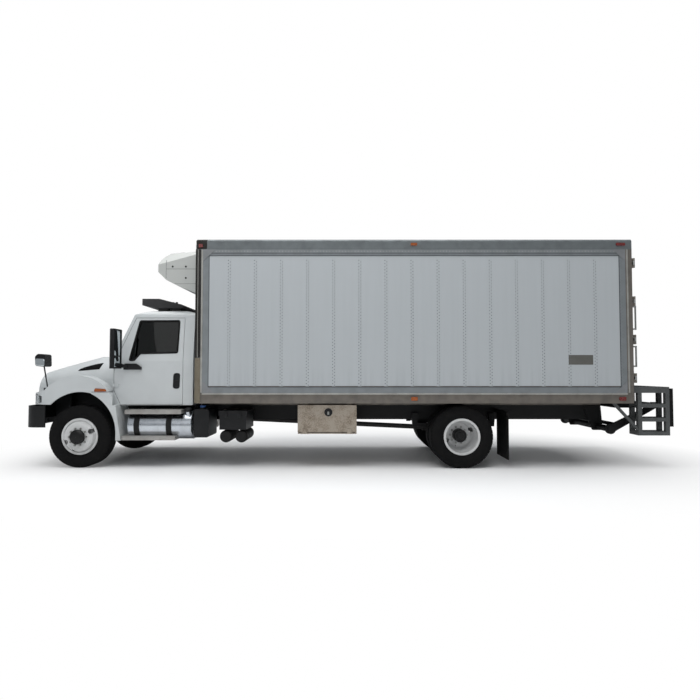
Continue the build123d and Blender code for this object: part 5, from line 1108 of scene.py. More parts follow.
@dataclass
class BoxSides:
    """The box's side panels: riveted seams, edge mouldings, corner gussets, posts and a bare plate."""

    skin_y: float = 1.287
    rail_y: float = 1.295
    front_x: float = 2.376
    rear_x: float = -4.712
    low_z: float = 1.2625
    high_z: float = 3.674
    band: float = 0.104
    band_proud: float = 0.0065
    band_slope: float = 0.004
    line_half: float = 0.004
    upper_line: Span = (0.038, 0.045)
    seam_front_x: float = 1.934
    seam_pitch: float = 0.438
    seams: int = 16
    lap_half: float = 0.03
    lap_proud: float = 0.0018
    lap_short: float = 0.01
    rivet_radius: float = 0.009
    rivet_pitch: float = 0.053
    rivet_head: float = 0.0028
    rivet_inset: float = 0.03
    rivet_rows: Spans = ((-0.016, 0.0), (0.016, 0.5))
    gusset_leg: float = 0.205
    gusset_thick: float = 0.006
    gusset_rivets: Spans = ((0.2, 0.2), (0.6, 0.15), (0.15, 0.6))
    strip_low_z: float = 1.238
    strip_rivet_z: float = 1.25
    strip_proud: float = 0.003
    edge_strip_half: float = 0.014
    edge_strip_low_z: float = 1.27
    post_rear_x: float = 2.404
    post_front_x: float = 2.4965
    post_in_y: float = 1.2
    post_z: Span = (1.852, 3.676)
    foot_z: Span = (1.10, 1.85)
    bead_x: float = 2.455
    bead_z: Span = (1.86, 3.67)
    bead_radius: float = 0.006
    cap_low: Place = (2.292, 1.19, 3.664)
    cap_top_z: float = 3.8455
    cap_round: float = 0.03
    plate_x: Span = (-4.15, -3.74)
    plate_z: Span = (1.738, 1.9)
    screw_inset: Span = (0.015, 0.014)

    def build(self) -> None:
        """Make each set of pieces for both sides."""
        self.seam_strips()
        self.panel_rivets()
        self.mouldings()
        self.gussets()
        self.bright_strips()
        self.posts()
        self.placard()

    def rivet_run(self, shape: Shape, start: Point, step: Point, count: int) -> None:
        """Add a straight row of low round rivet heads that stand out along Y.

        Args:
            shape: The shape that gets them.
            start: The first rivet's foot.
            step: From one rivet to the next.
            count: How many there are.
        """
        head = Vector((0, self.rivet_head, 0))
        for number in range(count):
            foot = Vector(start) + Vector(step) * number
            shape.bar(foot, foot + head, self.rivet_radius, 6, self.rivet_radius * 0.55)

    def seam_strips(self) -> None:
        """A lapped sheet edge at every seam."""
        shape = Shape()
        low, high = self.low_z + self.band + self.lap_short, self.high_z - self.band - self.lap_short
        x = self.seam_front_x
        shape.block((x - self.lap_half, self.skin_y - 0.002, low),
                    (x + self.lap_half, self.skin_y + self.lap_proud, high), 0.0012, 1)
        shape.repeat(self.seams, (-self.seam_pitch, 0, 0))
        shape.both_sides()
        shape.piece("box_seam_strips", CHASSIS, Palette.BOX_SEAM, "box_white")

    def panel_rivets(self) -> None:
        """Two staggered rows of rivets down every seam."""
        shape = Shape()
        low, high = self.low_z + self.band + self.rivet_inset, self.high_z - self.band - self.rivet_inset
        count = int((high - low) / self.rivet_pitch)
        for offset, lift in self.rivet_rows:
            start = (self.seam_front_x + offset, self.skin_y + 0.0015, low + lift * self.rivet_pitch)
            self.rivet_run(shape, start, (0, 0, self.rivet_pitch), count)
        shape.repeat(self.seams, (-self.seam_pitch, 0, 0))
        shape.both_sides()
        shape.piece("box_panel_rivets", CHASSIS, Palette.RIVET, "box_white")

    def mouldings(self) -> None:
        """The sloping band round each panel, and dark lines of painted shade where it meets its neighbours.
        """
        ring = Shape()
        corners = [(self.front_x, self.skin_y, self.low_z), (self.rear_x, self.skin_y, self.low_z),
                   (self.rear_x, self.skin_y, self.high_z), (self.front_x, self.skin_y, self.high_z)]
        ring.frame_ring(corners, self.band, self.band_proud, self.band_slope)
        ring.both_sides()
        ring.piece("box_band_moulding", CHASSIS, Palette.BAND, "box_rail", weld=True)
        # The lines below are painted shade in the gaps round the band.
        lines = Shape()
        low, high = self.low_z + self.band, self.high_z - self.band
        front, rear = self.front_x - self.band, self.rear_x + self.band
        deep, half = self.skin_y - 0.001, self.line_half
        for z0, z1 in ((high - half, high + half), (high + self.upper_line[0], high + self.upper_line[1]),
                       (low - half, low + half)):
            lines.block((rear, deep, z0), (front, self.skin_y + 0.0068, z1))
        for x in (front, rear):
            lines.block((x - half, deep, low), (x + half, self.skin_y + 0.0045, high))
        lines.both_sides()
        lines.piece("box_band_shadow_lines", CHASSIS, Palette.GAP_SHADE, "rubber")

    def gussets(self) -> None:
        """A riveted three-cornered plate over each corner of the band."""
        shape = Shape()
        leg, foot_y = self.gusset_leg, self.skin_y + 0.004
        for x, turn_x in ((self.front_x, -1), (self.rear_x, 1)):
            for z, turn_z in ((self.low_z, 1), (self.high_z, -1)):
                corner = [(x, foot_y, z), (x + turn_x * leg, foot_y, z), (x, foot_y, z + turn_z * leg)]
                shape.plate(corner, (0, self.gusset_thick, 0))
                for share_x, share_z in self.gusset_rivets:
                    foot = (x + turn_x * leg * share_x, self.skin_y + 0.0095, z + turn_z * leg * share_z)
                    self.rivet_run(shape, foot, (0, 0, 0), 1)
        shape.both_sides()
        shape.piece("box_corner_gussets", CHASSIS, Palette.GUSSET, "box_rail")

    def bright_strips(self) -> None:
        """The pale riveted strips under the panel and up its front and rear edges."""
        strip, rivets = Shape(), Shape()
        face, along = self.rail_y + self.strip_proud, (self.rivet_pitch, 0, 0)
        strip.block((self.rear_x, self.skin_y, self.strip_low_z), (self.front_x, face, self.low_z), 0.002, 1)
        count = int((self.front_x - self.rear_x) / self.rivet_pitch)
        start_x = self.rear_x + self.rivet_inset
        self.rivet_run(rivets, (start_x, self.rail_y + 0.0028, self.strip_rivet_z), along, count)
        self.rivet_run(rivets, (start_x, self.skin_y + 0.006, self.high_z - self.rivet_inset), along, count)
        rise = int((self.high_z - self.low_z) / self.rivet_pitch)
        for x in (self.front_x + 0.012, self.rear_x - 0.03):
            strip.block((x - self.edge_strip_half, self.skin_y, self.edge_strip_low_z),
                        (x + self.edge_strip_half, face, self.high_z), 0.002, 1)
            start = (x, self.rail_y + 0.0028, self.edge_strip_low_z + 0.02)
            self.rivet_run(rivets, start, (0, 0, self.rivet_pitch), rise)
        for shape, name in ((strip, "box_bright_strips"), (rivets, "box_strip_rivets")):
            shape.both_sides()
            shape.piece(name, CHASSIS, Palette.BRIGHT_TRIM, "box_rail")

    def posts(self) -> None:
        """Dark front corner posts with a bright bead and a tan foot, and dark caps on the roof's corners."""
        dark, tan, bead, cap = Shape(), Shape(), Shape(), Shape()
        face = self.rail_y + 0.0035
        for shape, (low, high) in ((dark, self.post_z), (tan, self.foot_z)):
            shape.block((self.post_rear_x, self.rail_y - 0.004, low), (self.post_front_x, face, high), 0.004)
            shape.block((self.post_front_x - 0.004, self.post_in_y, low), (self.post_front_x, face, high))
        bead.bar(*((self.bead_x, face, z) for z in self.bead_z), self.bead_radius, 10)
        cap.block(self.cap_low, (self.post_front_x, face, self.cap_top_z), self.cap_round, 4)
        for shape, name, finish in ((dark, "box_front_posts", Palette.POST_DARK),
                                    (tan, "box_post_feet", Palette.POST_TAN),
                                    (bead, "box_post_beads", Palette.BRIGHT_TRIM),
                                    (cap, "box_roof_caps", Palette.POST_DARK)):
            shape.both_sides()
            shape.piece(name, CHASSIS, finish, "box_rail")

    def placard(self) -> None:
        """A bare grey plate with four screws on each side."""
        plate = Shape()
        (rear, front), (low, high) = self.plate_x, self.plate_z
        in_x, in_z = self.screw_inset
        plate.block((rear, self.skin_y - 0.001, low), (front, self.skin_y + 0.003, high), 0.0015, 1)
        for x in (rear + in_x, front - in_x):
            for z in (low + in_z, high - in_z):
                self.rivet_run(plate, (x, self.skin_y + 0.0028, z), (0, 0, 0), 1)
        plate.both_sides()
        plate.piece("box_bare_plate", CHASSIS, Palette.PLACARD, "box_rail")


def rounded(corners: Sequence[Sequence[float]], radius: float, steps: int = 5) -> list[Vector]:
    """Round the corners of a flat outline.

    Args:
        corners: Its corners in order.
        radius: About how far each corner is rounded.
        steps: How many strips a rounded corner has.

    Returns:
        The outline's points in order.
    """
    points = []
    for number, corner in enumerate(corners):
        at = Vector(corner)
        before = Vector(corners[number - 1]) - at
        after = Vector(corners[(number + 1) % len(corners)]) - at
        reach = min(radius / math.tan(before.angle(after) / 2), 0.45 * before.length, 0.45 * after.length)
        start = at + before.normalized() * reach
        end = at + after.normalized() * reach
        for step in range(steps + 1):
            share = step / steps
            points.append(start.lerp(at, share).lerp(at.lerp(end, share), share))
    return points


def pair(node: str) -> tuple[Vector, Vector]:
    """The low and high corners of a CAD node's box."""
    low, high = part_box(node)
    return Vector(low), Vector(high)


def repaint(node: str, finish: Finish, chosen: Callable[[Vector, Vector], bool]) -> None:
    """Give some faces of a CAD node another finish.

    Args:
        node: The node.
        finish: What its chosen faces are finished in.
        chosen: Takes a face's centre and normal and says whether it is one of them.
    """
    data = frame["nodes"][node].data
    data.materials.append(finish.material())
    number = len(data.materials) - 1
    for face in data.polygons:
        if chosen(face.center, face.normal):
            face.material_index = number


@dataclass
class CabOutside:
    """The cab's outer trim: seals, handles, mirror glass, wipers, cowl, lamps and the pipes behind it."""

    axle_x: float = FRONT_AXLE_X
    half: float = 1.030
    belt_z: float = 1.8
    lean: float = 0.090 / 0.760
    window: Spans = ((-0.752, 1.801), (-0.857, 1.801), (-0.957, 1.921),
                     (-1.604, 1.936), (-1.616, 2.521), (-0.906, 2.517))
    window_round: float = 0.045
    seal_width: float = 0.03
    cup: Spans = ((-1.523, 1.33), (-1.638, 1.33), (-1.646, 1.595), (-1.533, 1.595))
    cup_round: float = 0.05
    cup_deep: float = 0.021
    pull: Spans = ((-1.622, 1.37), (-1.55, 1.47))
    mirror_back: float = 0.6862
    mirror_y: Span = (1.17, 1.41)
    mirror_rows: Spans = ((1.70, 1.875), (1.89, 2.305))
    cowl_half: float = 0.9
    cowl_low: Span = (0.4995, 1.874)
    cowl_high: Span = (0.5215, 1.926)
    wiper_spans: Spans = ((0.55, -0.12), (-0.18, -0.82))
    wiper_foot: Span = (0.503, 1.90)
    wiper_knee: Span = (0.535, 2.0)
    wiper_tip: Span = (0.518, 1.958)
    lamp_y: Row = (-0.72, -0.17, 0.0, 0.17, 0.72)
    lamp_x: Span = (0.90, 0.83)
    lamp_z: Span = (2.628, 2.664)
    lamp_half: float = 0.05
    pipe_y: Row = (0.70, 0.76, 0.83, 0.9)
    pipe_bends: Rows = (
        (2.62, 0.0, 0.98), (2.535, 0.0, 1.12), (2.52, -0.02, 1.9), (2.52, 0.0, 2.6), (2.535, 0.0, 2.975))
    pipe_radius: float = 0.017
    clip_z: Row = (1.45, 2.25, 2.8)
    clip_low: Span = (2.4925, 0.66)
    clip_high: Span = (2.541, 0.93)

    def build(self) -> None:
        """Trim both doors, then the cab."""
        for side in Side:
            self.door_trim(side)
        self.screen_trim()
        self.roof_lamps()
        self.back_pipes()

    def skin(self, x: float, z: float, proud: float = 0.0) -> Place:
        """A point on the cab's left side at x from the front axle, standing proud of it."""
        return self.axle_x + x, self.half - max(0.0, z - self.belt_z) * self.lean + proud, z

    def door_trim(self, side: Side) -> None:
        """Set the window's seal, the black handle cup with its pull, and the two mirror panes of one door.

        Args:
            side: The door's side.
        """
        body = f"cab_door_{side.label}_body"
        seal = Shape()
        outline = [self.skin(x, z, -0.001) for x, z in rounded(self.window, self.window_round)]
        seal.frame_ring(outline, self.seal_width, 0.006, 0.003)
        seal.to_side(side)
        seal.piece(f"window_seal_{side.label}", body, Palette.RUBBER, "rubber", weld=True)
        cup = Shape()
        cup.plate([self.skin(x, z, -self.cup_deep) for x, z in rounded(self.cup, self.cup_round)],
                  (0, self.cup_deep + 0.0015, 0), 0.003)
        cup.block(self.skin(*self.pull[0], -0.002), self.skin(*self.pull[1], 0.008), 0.007)
        cup.to_side(side)
        cup.piece(f"door_handle_{side.label}", body, Palette.BLACK_PLASTIC, "black_plastic")
        panes = Shape()
        back, (near, far) = self.axle_x - self.mirror_back, self.mirror_y
        for low, high in self.mirror_rows:
            panes.block((back - 0.004, near, low), (back, far, high), 0.0018, 2)
        panes.to_side(side)
        panes.piece(f"mirror_panes_{side.label}", body, Palette.MIRROR, "glass")

    def screen_trim(self) -> None:
        """Black cowl strip under the windscreen, and two wipers parked on it."""
        cowl = Shape()
        half = self.cowl_half
        cowl.plate([(self.axle_x - back, y, z) for (back, z), y in (
            (self.cowl_low, -half), (self.cowl_low, half), (self.cowl_high, half), (self.cowl_high, -half))],
                   (0.004, 0, 0.0017))
        cowl.piece("screen_cowl", CHASSIS, Palette.BLACK_PLASTIC, "black_plastic", weld=True)
        wipers = Shape()
        ends = (self.wiper_foot, self.wiper_knee, self.wiper_tip)
        (foot_x, foot_z), (knee_x, knee_z), (tip_x, tip_z) = ((self.axle_x - back, z) for back, z in ends)
        for foot_y, tip_y in self.wiper_spans:
            wipers.bar((foot_x, foot_y, foot_z), (foot_x + 0.018, foot_y, foot_z + 0.008), 0.018, 14)
            knee = (knee_x, (foot_y + tip_y) / 2, knee_z)
            wipers.pipe([(foot_x + 0.012, foot_y, foot_z + 0.01), knee], 0.008, 8)
            wipers.pipe([(knee_x + 0.004, foot_y - 0.1, knee_z - 0.022),
                         (tip_x + 0.004, tip_y, tip_z + 0.02)], 0.006, 8)
        wipers.piece("screen_wipers", CHASSIS, Palette.BLACK_PLASTIC, "black_plastic")

    def roof_lamps(self) -> None:
        """Five amber lamps in a row over the screen."""
        lamps = Shape()
        (rear, front), (low, high) = self.lamp_x, self.lamp_z
        for y in self.lamp_y:
            lamps.block((self.axle_x - rear, y - self.lamp_half, low),
                        (self.axle_x - front, y + self.lamp_half, high), 0.016, 3)
        lamps.piece("cab_roof_lamps", CHASSIS, Palette.AMBER, "lamp_lens")

    def back_pipes(self) -> None:
        """Four fixed pipes up the box's front wall, clipped to it, to the cooling unit's belly."""
        lines = Shape()
        for y in self.pipe_y:
            lines.pipe([(x, y + shift, z) for x, shift, z in self.pipe_bends], self.pipe_radius)
        for z in self.clip_z:
            lines.block((*self.clip_low, z), (*self.clip_high, z + 0.03), 0.006)
        lines.piece("cab_back_pipes", CHASSIS, Palette.RUBBER, "rubber")


@dataclass
class CabInside:
    """Dark linings, door trims, a floor mat and two padded seats."""

    axle_x: float = FRONT_AXLE_X
    middle: Place = (FRONT_AXLE_X - 1.2, 0.0, 1.8)
    seat_x: float = FRONT_AXLE_X - 1.42
    seat_y: float = 0.48
    floor_z: float = 1.098
    mat_x: Span = (1.79, 0.70)
    mat_half: float = 0.93
    mat_thick: float = 0.008
    card: Corners = ((-1.665, 0.946, 1.11), (-0.70, 0.967, 1.86))
    arm_rest: Corners = ((-1.52, 0.885, 1.50), (-1.05, 0.95, 1.56))
    pocket: Corners = ((-1.55, 0.915, 1.14), (-0.85, 0.95, 1.30))
    pull: Corners = ((-1.0, 0.93, 1.66), (-1.14, 0.93, 1.66))
    pads: tuple[tuple[str, Point, Point, float], ...] = (
        ("seat_cushions", (-0.20, 0, 0.39), (0.11, 0.49, 0.46), -86.0),
        ("seat_backs", (-0.25, 0, 0.46), (0.11, 0.48, 0.48), 9.0),
        ("seat_head_rests", (-0.325, 0, 0.95), (0.085, 0.3, 0.165), 9.0))
    pad_cuts: int = 14
    pad_squareness: int = 7
    crown: float = 0.22
    channels: Row = (-0.45, 0.45)
    channel_deep: float = 0.06
    channel_wide: float = 0.05
    waist: Span = (0.05, 0.04)
    base: Corners = ((-0.27, -0.19, 0.0), (0.14, 0.19, 0.34))

    def build(self) -> None:
        """Line the shell and doors, then set the mat and seats."""
        middle = Vector(self.middle)
        repaint("cab_shell", Palette.CABIN_TRIM,
                lambda centre, away: away.dot((middle - centre).normalized()) > 0.3)
        for side in Side:
            repaint(f"cab_door_{side.label}", Palette.CABIN_TRIM,
                    lambda centre, away, turn=side.value: away.y * turn < -0.5)
            self.door_card(side)
        mat = Shape()
        rear, front = (self.axle_x - back for back in self.mat_x)
        mat.block((rear, -self.mat_half, self.floor_z),
                  (front, self.mat_half, self.floor_z + self.mat_thick), 0.004)
        mat.piece("cab_floor_mat", CHASSIS, Palette.RUBBER, "rubber", weld=True)
        self.seats()

    def door_card(self, side: Side) -> None:
        """Set one door's inner card with its arm rest, pocket and pull.

        Args:
            side: The door's side.
        """
        card = Shape()
        for (low, high), rounding, steps in ((self.card, 0.008, 2), (self.arm_rest, 0.02, 3),
                                             (self.pocket, 0.015, 3)):
            card.block(low, high, rounding, steps)
        card.bar(*self.pull, 0.011, 10)
        bmesh.ops.translate(card.mesh, vec=(self.axle_x, 0, 0), verts=card.mesh.verts[:])
        card.to_side(side)
        card.piece(f"door_card_{side.label}", f"cab_door_{side.label}_body", Palette.CABIN_TRIM, "cabin_grey")

    def pad(self, middle: Point, size: Point, lean_deg: float) -> Shape:
        """Make one cushion: crowned, its sides drawn in between its corners, two sewn channels down it.

        Args:
            middle: The middle of its foot edge, about which it leans.
            size: Its depth through, width and height or length.
            lean_deg: How far it leans back.

        Returns:
            The shape.
        """
        shape = Shape()
        power = self.pad_squareness
        bmesh.ops.create_cube(shape.mesh, size=2.0)
        bmesh.ops.subdivide_edges(shape.mesh, edges=shape.mesh.edges[:], cuts=self.pad_cuts,
                                  use_grid_fill=True)
        depth, width, rise = (share / 2 for share in size)
        for vert in shape.mesh.verts:
            u, v, w = vert.co / sum(abs(part) ** power for part in vert.co) ** (1 / power)
            crown = 1 - self.crown + self.crown * (1 - v ** 2) * (1 - w ** 2)
            dips = (math.exp(-((v - at) / self.channel_wide) ** 2) for at in self.channels)
            vert.co = (u * depth * (crown - self.channel_deep * sum(dips)),
                       v * width * (1 - self.waist[0] * (1 - w ** 2)),
                       w * rise * (1 - self.waist[1] * (1 - v ** 2)) + rise)
        turn = Matrix.Rotation(-math.radians(lean_deg), 3, "Y")
        bmesh.ops.rotate(shape.mesh, cent=(0, 0, 0), matrix=turn, verts=shape.mesh.verts[:])
        place = Vector(middle) + Vector((0, self.seat_y, 0))
        bmesh.ops.translate(shape.mesh, vec=place, verts=shape.mesh.verts[:])
        shape.both_sides()
        return shape

    def seats(self) -> None:
        """Two seats: a base box, a cushion, a raked back and a head rest."""
        origin = Vector((self.seat_x, 0, self.floor_z))
        for name, place, size, lean in self.pads:
            shape = self.pad(origin + Vector(place), size, lean)
            made = shape.piece(name, CHASSIS, Palette.SEAT, "seat_cloth")
            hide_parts("seats")
        bases = Shape()
        bases.block(*self.base, 0.02, 3)
        bmesh.ops.translate(bases.mesh, vec=origin + Vector((0, self.seat_y, 0)), verts=bases.mesh.verts[:])
        bases.both_sides()
        made = bases.piece("seat_bases", CHASSIS, Palette.BLACK_PLASTIC, "black_plastic")
        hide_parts("seats")


@dataclass
class HoodTrim:
    """The hood's side vents, mirror panes, lamp bowls and black underside, and the panels round the engine
    bay.
    """

    axle_x: float = FRONT_AXLE_X
    vent_front: Span = (0.229, 1.634)
    vent_low_rear: Span = (-0.176, 1.662)
    vent_high_rear: Span = (-0.208, 1.779)
    vent_nose: float = 0.012
    vent_curve: float = 0.6
    vent_columns: int = 28
    vent_rows: int = 9
    slat_proud: float = 0.007
    edge_proud: float = 0.002
    pane: Spans = ((0.605, 1.712), (0.757, 1.727), (0.764, 1.845), (0.607, 1.838))
    pane_y: float = 1.1645
    pane_thick: float = 0.0025
    ear_x: float = 0.87
    ear_half: float = 0.52
    ear_top_z: float = 1.084
    marker_x: float = 0.3
    bucket: Spans = ((0.79, 0.835), (0.775, 0.98), (0.70, 1.09), (0.66, 1.10))
    bucket_z: Span = (1.11, 1.232)
    bowls: Rows = ((0.785, 0.90, 0.05), (0.755, 1.015, 0.045))
    bowl_z: float = 1.17
    screen: Row = (0.79, 0.57, 1.10, 1.56)
    bumper_shade_plates: Rows = ((0.735, 1.06, 0.82, 1.07), (0.975, 0.42, 0.70, 0.93))
    splash: Spans = ((0.46, 1.22), (0.86, 1.22), (0.88, 0.74), (0.60, 0.74), (0.46, 0.98))
    splash_y: float = 0.60
    stay_x: float = 0.62
    stay_z: Row = (0.86, 0.95)
    rail_y: float = 0.432

    def build(self) -> None:
        """Set the vents, the panes, the panels and the lamp colours."""
        self.vents()
        panes = Shape()
        outline = [(self.axle_x + x, self.pane_y, z) for x, z in rounded(self.pane, 0.03)]
        panes.plate(outline, (0, self.pane_thick, 0), 0.001)
        panes.both_sides()
        panes.piece("hood_mirror_panes", HOOD, Palette.MIRROR, "glass")
        self.panels()
        self.headlamps()
        repaint("hood", Palette.FRAME_BLACK, lambda centre, away: centre.z < self.ear_top_z
                and abs(centre.y) < self.ear_half and centre.x > self.axle_x + self.ear_x)
        repaint("hood_lamps", Palette.AMBER, lambda centre, away: centre.x < self.axle_x + self.marker_x)
        # Downward faces of the hood go black: partly the real arch liner, partly painted shade under the
        # hood.
        repaint("hood", Palette.BLACK_PLASTIC, lambda centre, away: away.z < -0.55)

    def vents(self) -> None:
        """A black louvred patch of painted vent shade that follows the hood's side, pointed in front and
        raked behind.
        """
        hood = frame["nodes"]["hood"].data
        skin = BVHTree.FromPolygons([vert.co for vert in hood.vertices],
                                    [tuple(face.vertices) for face in hood.polygons])
        front, low_rear, high_rear = (Vector(end) for end in (self.vent_front, self.vent_low_rear,
                                                              self.vent_high_rear))
        nose_z = front.y + self.vent_nose
        shape = Shape()
        grid = []
        for column in range(self.vent_columns + 1):
            share = column / self.vent_columns
            low = front.lerp(low_rear, share)
            high = front.lerp(high_rear, share)
            high.y = nose_z + (high_rear.y - nose_z) * share ** self.vent_curve
            line = []
            for row in range(self.vent_rows + 1):
                x, z = low.lerp(high, row / self.vent_rows)
                place, _, _, _ = skin.ray_cast(Vector((self.axle_x + x, 2.0, z)), Vector((0, -1, 0)))
                inside = 0 < row < self.vent_rows and 0 < column < self.vent_columns
                proud = self.slat_proud if inside and row % 2 else self.edge_proud
                line.append(shape.mesh.verts.new(place + Vector((0, 1, 0.4)).normalized() * proud))
            grid.append(line)
        for near, far in zip(grid, grid[1:]):
            for row in range(self.vent_rows):
                shape.mesh.faces.new((near[row], near[row + 1], far[row + 1], far[row]))
        shape.both_sides()
        shape.piece("hood_side_vents", HOOD, Palette.SHADOW, "black_plastic")

    def headlamps(self) -> None:
        """A bucket of painted shade behind each headlamp lens, with two silvered bowls in it."""
        bucket, bowls = Shape(), Shape()
        low, high = self.bucket_z
        back = [(self.axle_x + x, y) for x, y in self.bucket]
        for start, end in zip(back, back[1:]):
            bucket.plate([(*start, low), (*end, low), (*end, high), (*start, high)], (-0.004, 0, 0))
        for x, y, radius in self.bowls:
            at_x = self.axle_x + x
            bowls.bar((at_x - 0.005, y, self.bowl_z), (at_x + 0.02, y, self.bowl_z), radius * 0.6, 24, radius)
        for shape, name, finish, slot in ((bucket, "headlamp_buckets", Palette.SHADOW, "black_plastic"),
                                          (bowls, "headlamp_bowls", Palette.MIRROR, "head_lens")):
            shape.both_sides()
            shape.piece(name, HOOD, finish, slot)

    def panels(self) -> None:
        """Dark plates of painted shade behind the grille and the bumper, and splash panels at the tyres."""
        grille_shade, bumper_shade, panels = Shape(), Shape(), Shape()
        x, half, low, high = self.screen
        # Both plates are near black: painted shade behind the grille and in the gap behind the bumper.
        grille_shade.block((self.axle_x + x, -half, low), (self.axle_x + x + 0.01, half, high), 0.003)
        grille_shade.piece("radiator_screen", CHASSIS, Palette.SHADOW, "black_plastic")
        for x, half, low, high in self.bumper_shade_plates:
            bumper_shade.block((self.axle_x + x, -half, low), (self.axle_x + x + 0.006, half, high), 0.002)
        bumper_shade.piece("bumper_filler_panel", CHASSIS, Palette.SHADOW, "black_plastic")
        outline = [(self.axle_x + x, self.splash_y, z) for x, z in rounded(self.splash, 0.05)]
        panels.plate(outline, (0, 0.006, 0))
        stay_x = self.axle_x + self.stay_x
        for z in self.stay_z:
            panels.bar((stay_x, self.rail_y - 0.01, z), (stay_x, self.splash_y + 0.002, z), 0.012)
        panels.both_sides()
        panels.piece("front_splash_panels", CHASSIS, Palette.BLACK_PLASTIC, "black_plastic")


@dataclass
class Underbody:
    """The U-bolts that clamp the springs, their seat plates, and the rear brake chambers."""

    springs: Rows = ((FRONT_AXLE_X, 0.462, 0.066, 0.546), (REAR_AXLE_X, 0.478, 0.082, 0.672))
    leg_half: float = 0.056
    bolt: float = 0.009
    nut: float = 0.016
    drop: float = 0.25
    seat_half: float = 0.075
    seat_margin: float = 0.03
    chamber_y: float = 0.33
    chamber_z: float = 0.60
    chamber: float = 0.078
    rod_radius: float = 0.018
    bracket: Corners = ((-0.15, -0.05, 0.53), (-0.03, 0.05, 0.56))

    def build(self) -> None:
        """Clamp each spring and hang the brake chambers."""
        self.u_bolts()
        self.brake_chambers()

    def u_bolts(self) -> None:
        """Two U-bolts over each spring, with nuts under a seat plate."""
        bolts = Shape()
        for x, y, half, top in self.springs:
            foot, high = top - self.drop, top + self.bolt
            near, far = y - self.leg_half, y + self.leg_half
            for bolt_x in (x - half, x + half):
                bends = ((near, foot), (near, high), (far, high), (far, foot))
                bolts.pipe([(bolt_x, *bend) for bend in bends], self.bolt)
                for leg_y in (near, far):
                    bolts.bar((bolt_x, leg_y, foot + 0.01), (bolt_x, leg_y, foot + 0.03), self.nut, 6)
            reach = half + self.seat_margin
            bolts.block((x - reach, y - self.seat_half, foot + 0.03),
                        (x + reach, y + self.seat_half, foot + 0.045), 0.004)
        bolts.both_sides()
        bolts.piece("spring_u_bolts", CHASSIS, Palette.IRON, "frame_black")

    def brake_chambers(self) -> None:
        """A two-part drum with its clamp ring, cap, push rod and bracket at each end of the rear axle."""
        drums = Shape()
        for start, end, radius in ((-0.14, -0.22, self.chamber), (-0.215, -0.235, self.chamber + 0.008),
                                   (-0.23, -0.34, self.chamber), (-0.34, -0.36, self.chamber - 0.02),
                                   (-0.08, -0.145, self.rod_radius)):
            drums.bar((REAR_AXLE_X + start, self.chamber_y, self.chamber_z),
                      (REAR_AXLE_X + end, self.chamber_y, self.chamber_z), radius, 28)
        origin = Vector((REAR_AXLE_X, self.chamber_y, 0))
        drums.block(*(origin + Vector(corner) for corner in self.bracket), 0.006)
        drums.both_sides()
        drums.piece("rear_brake_chambers", CHASSIS, Palette.FRAME_BLACK, "frame_black")


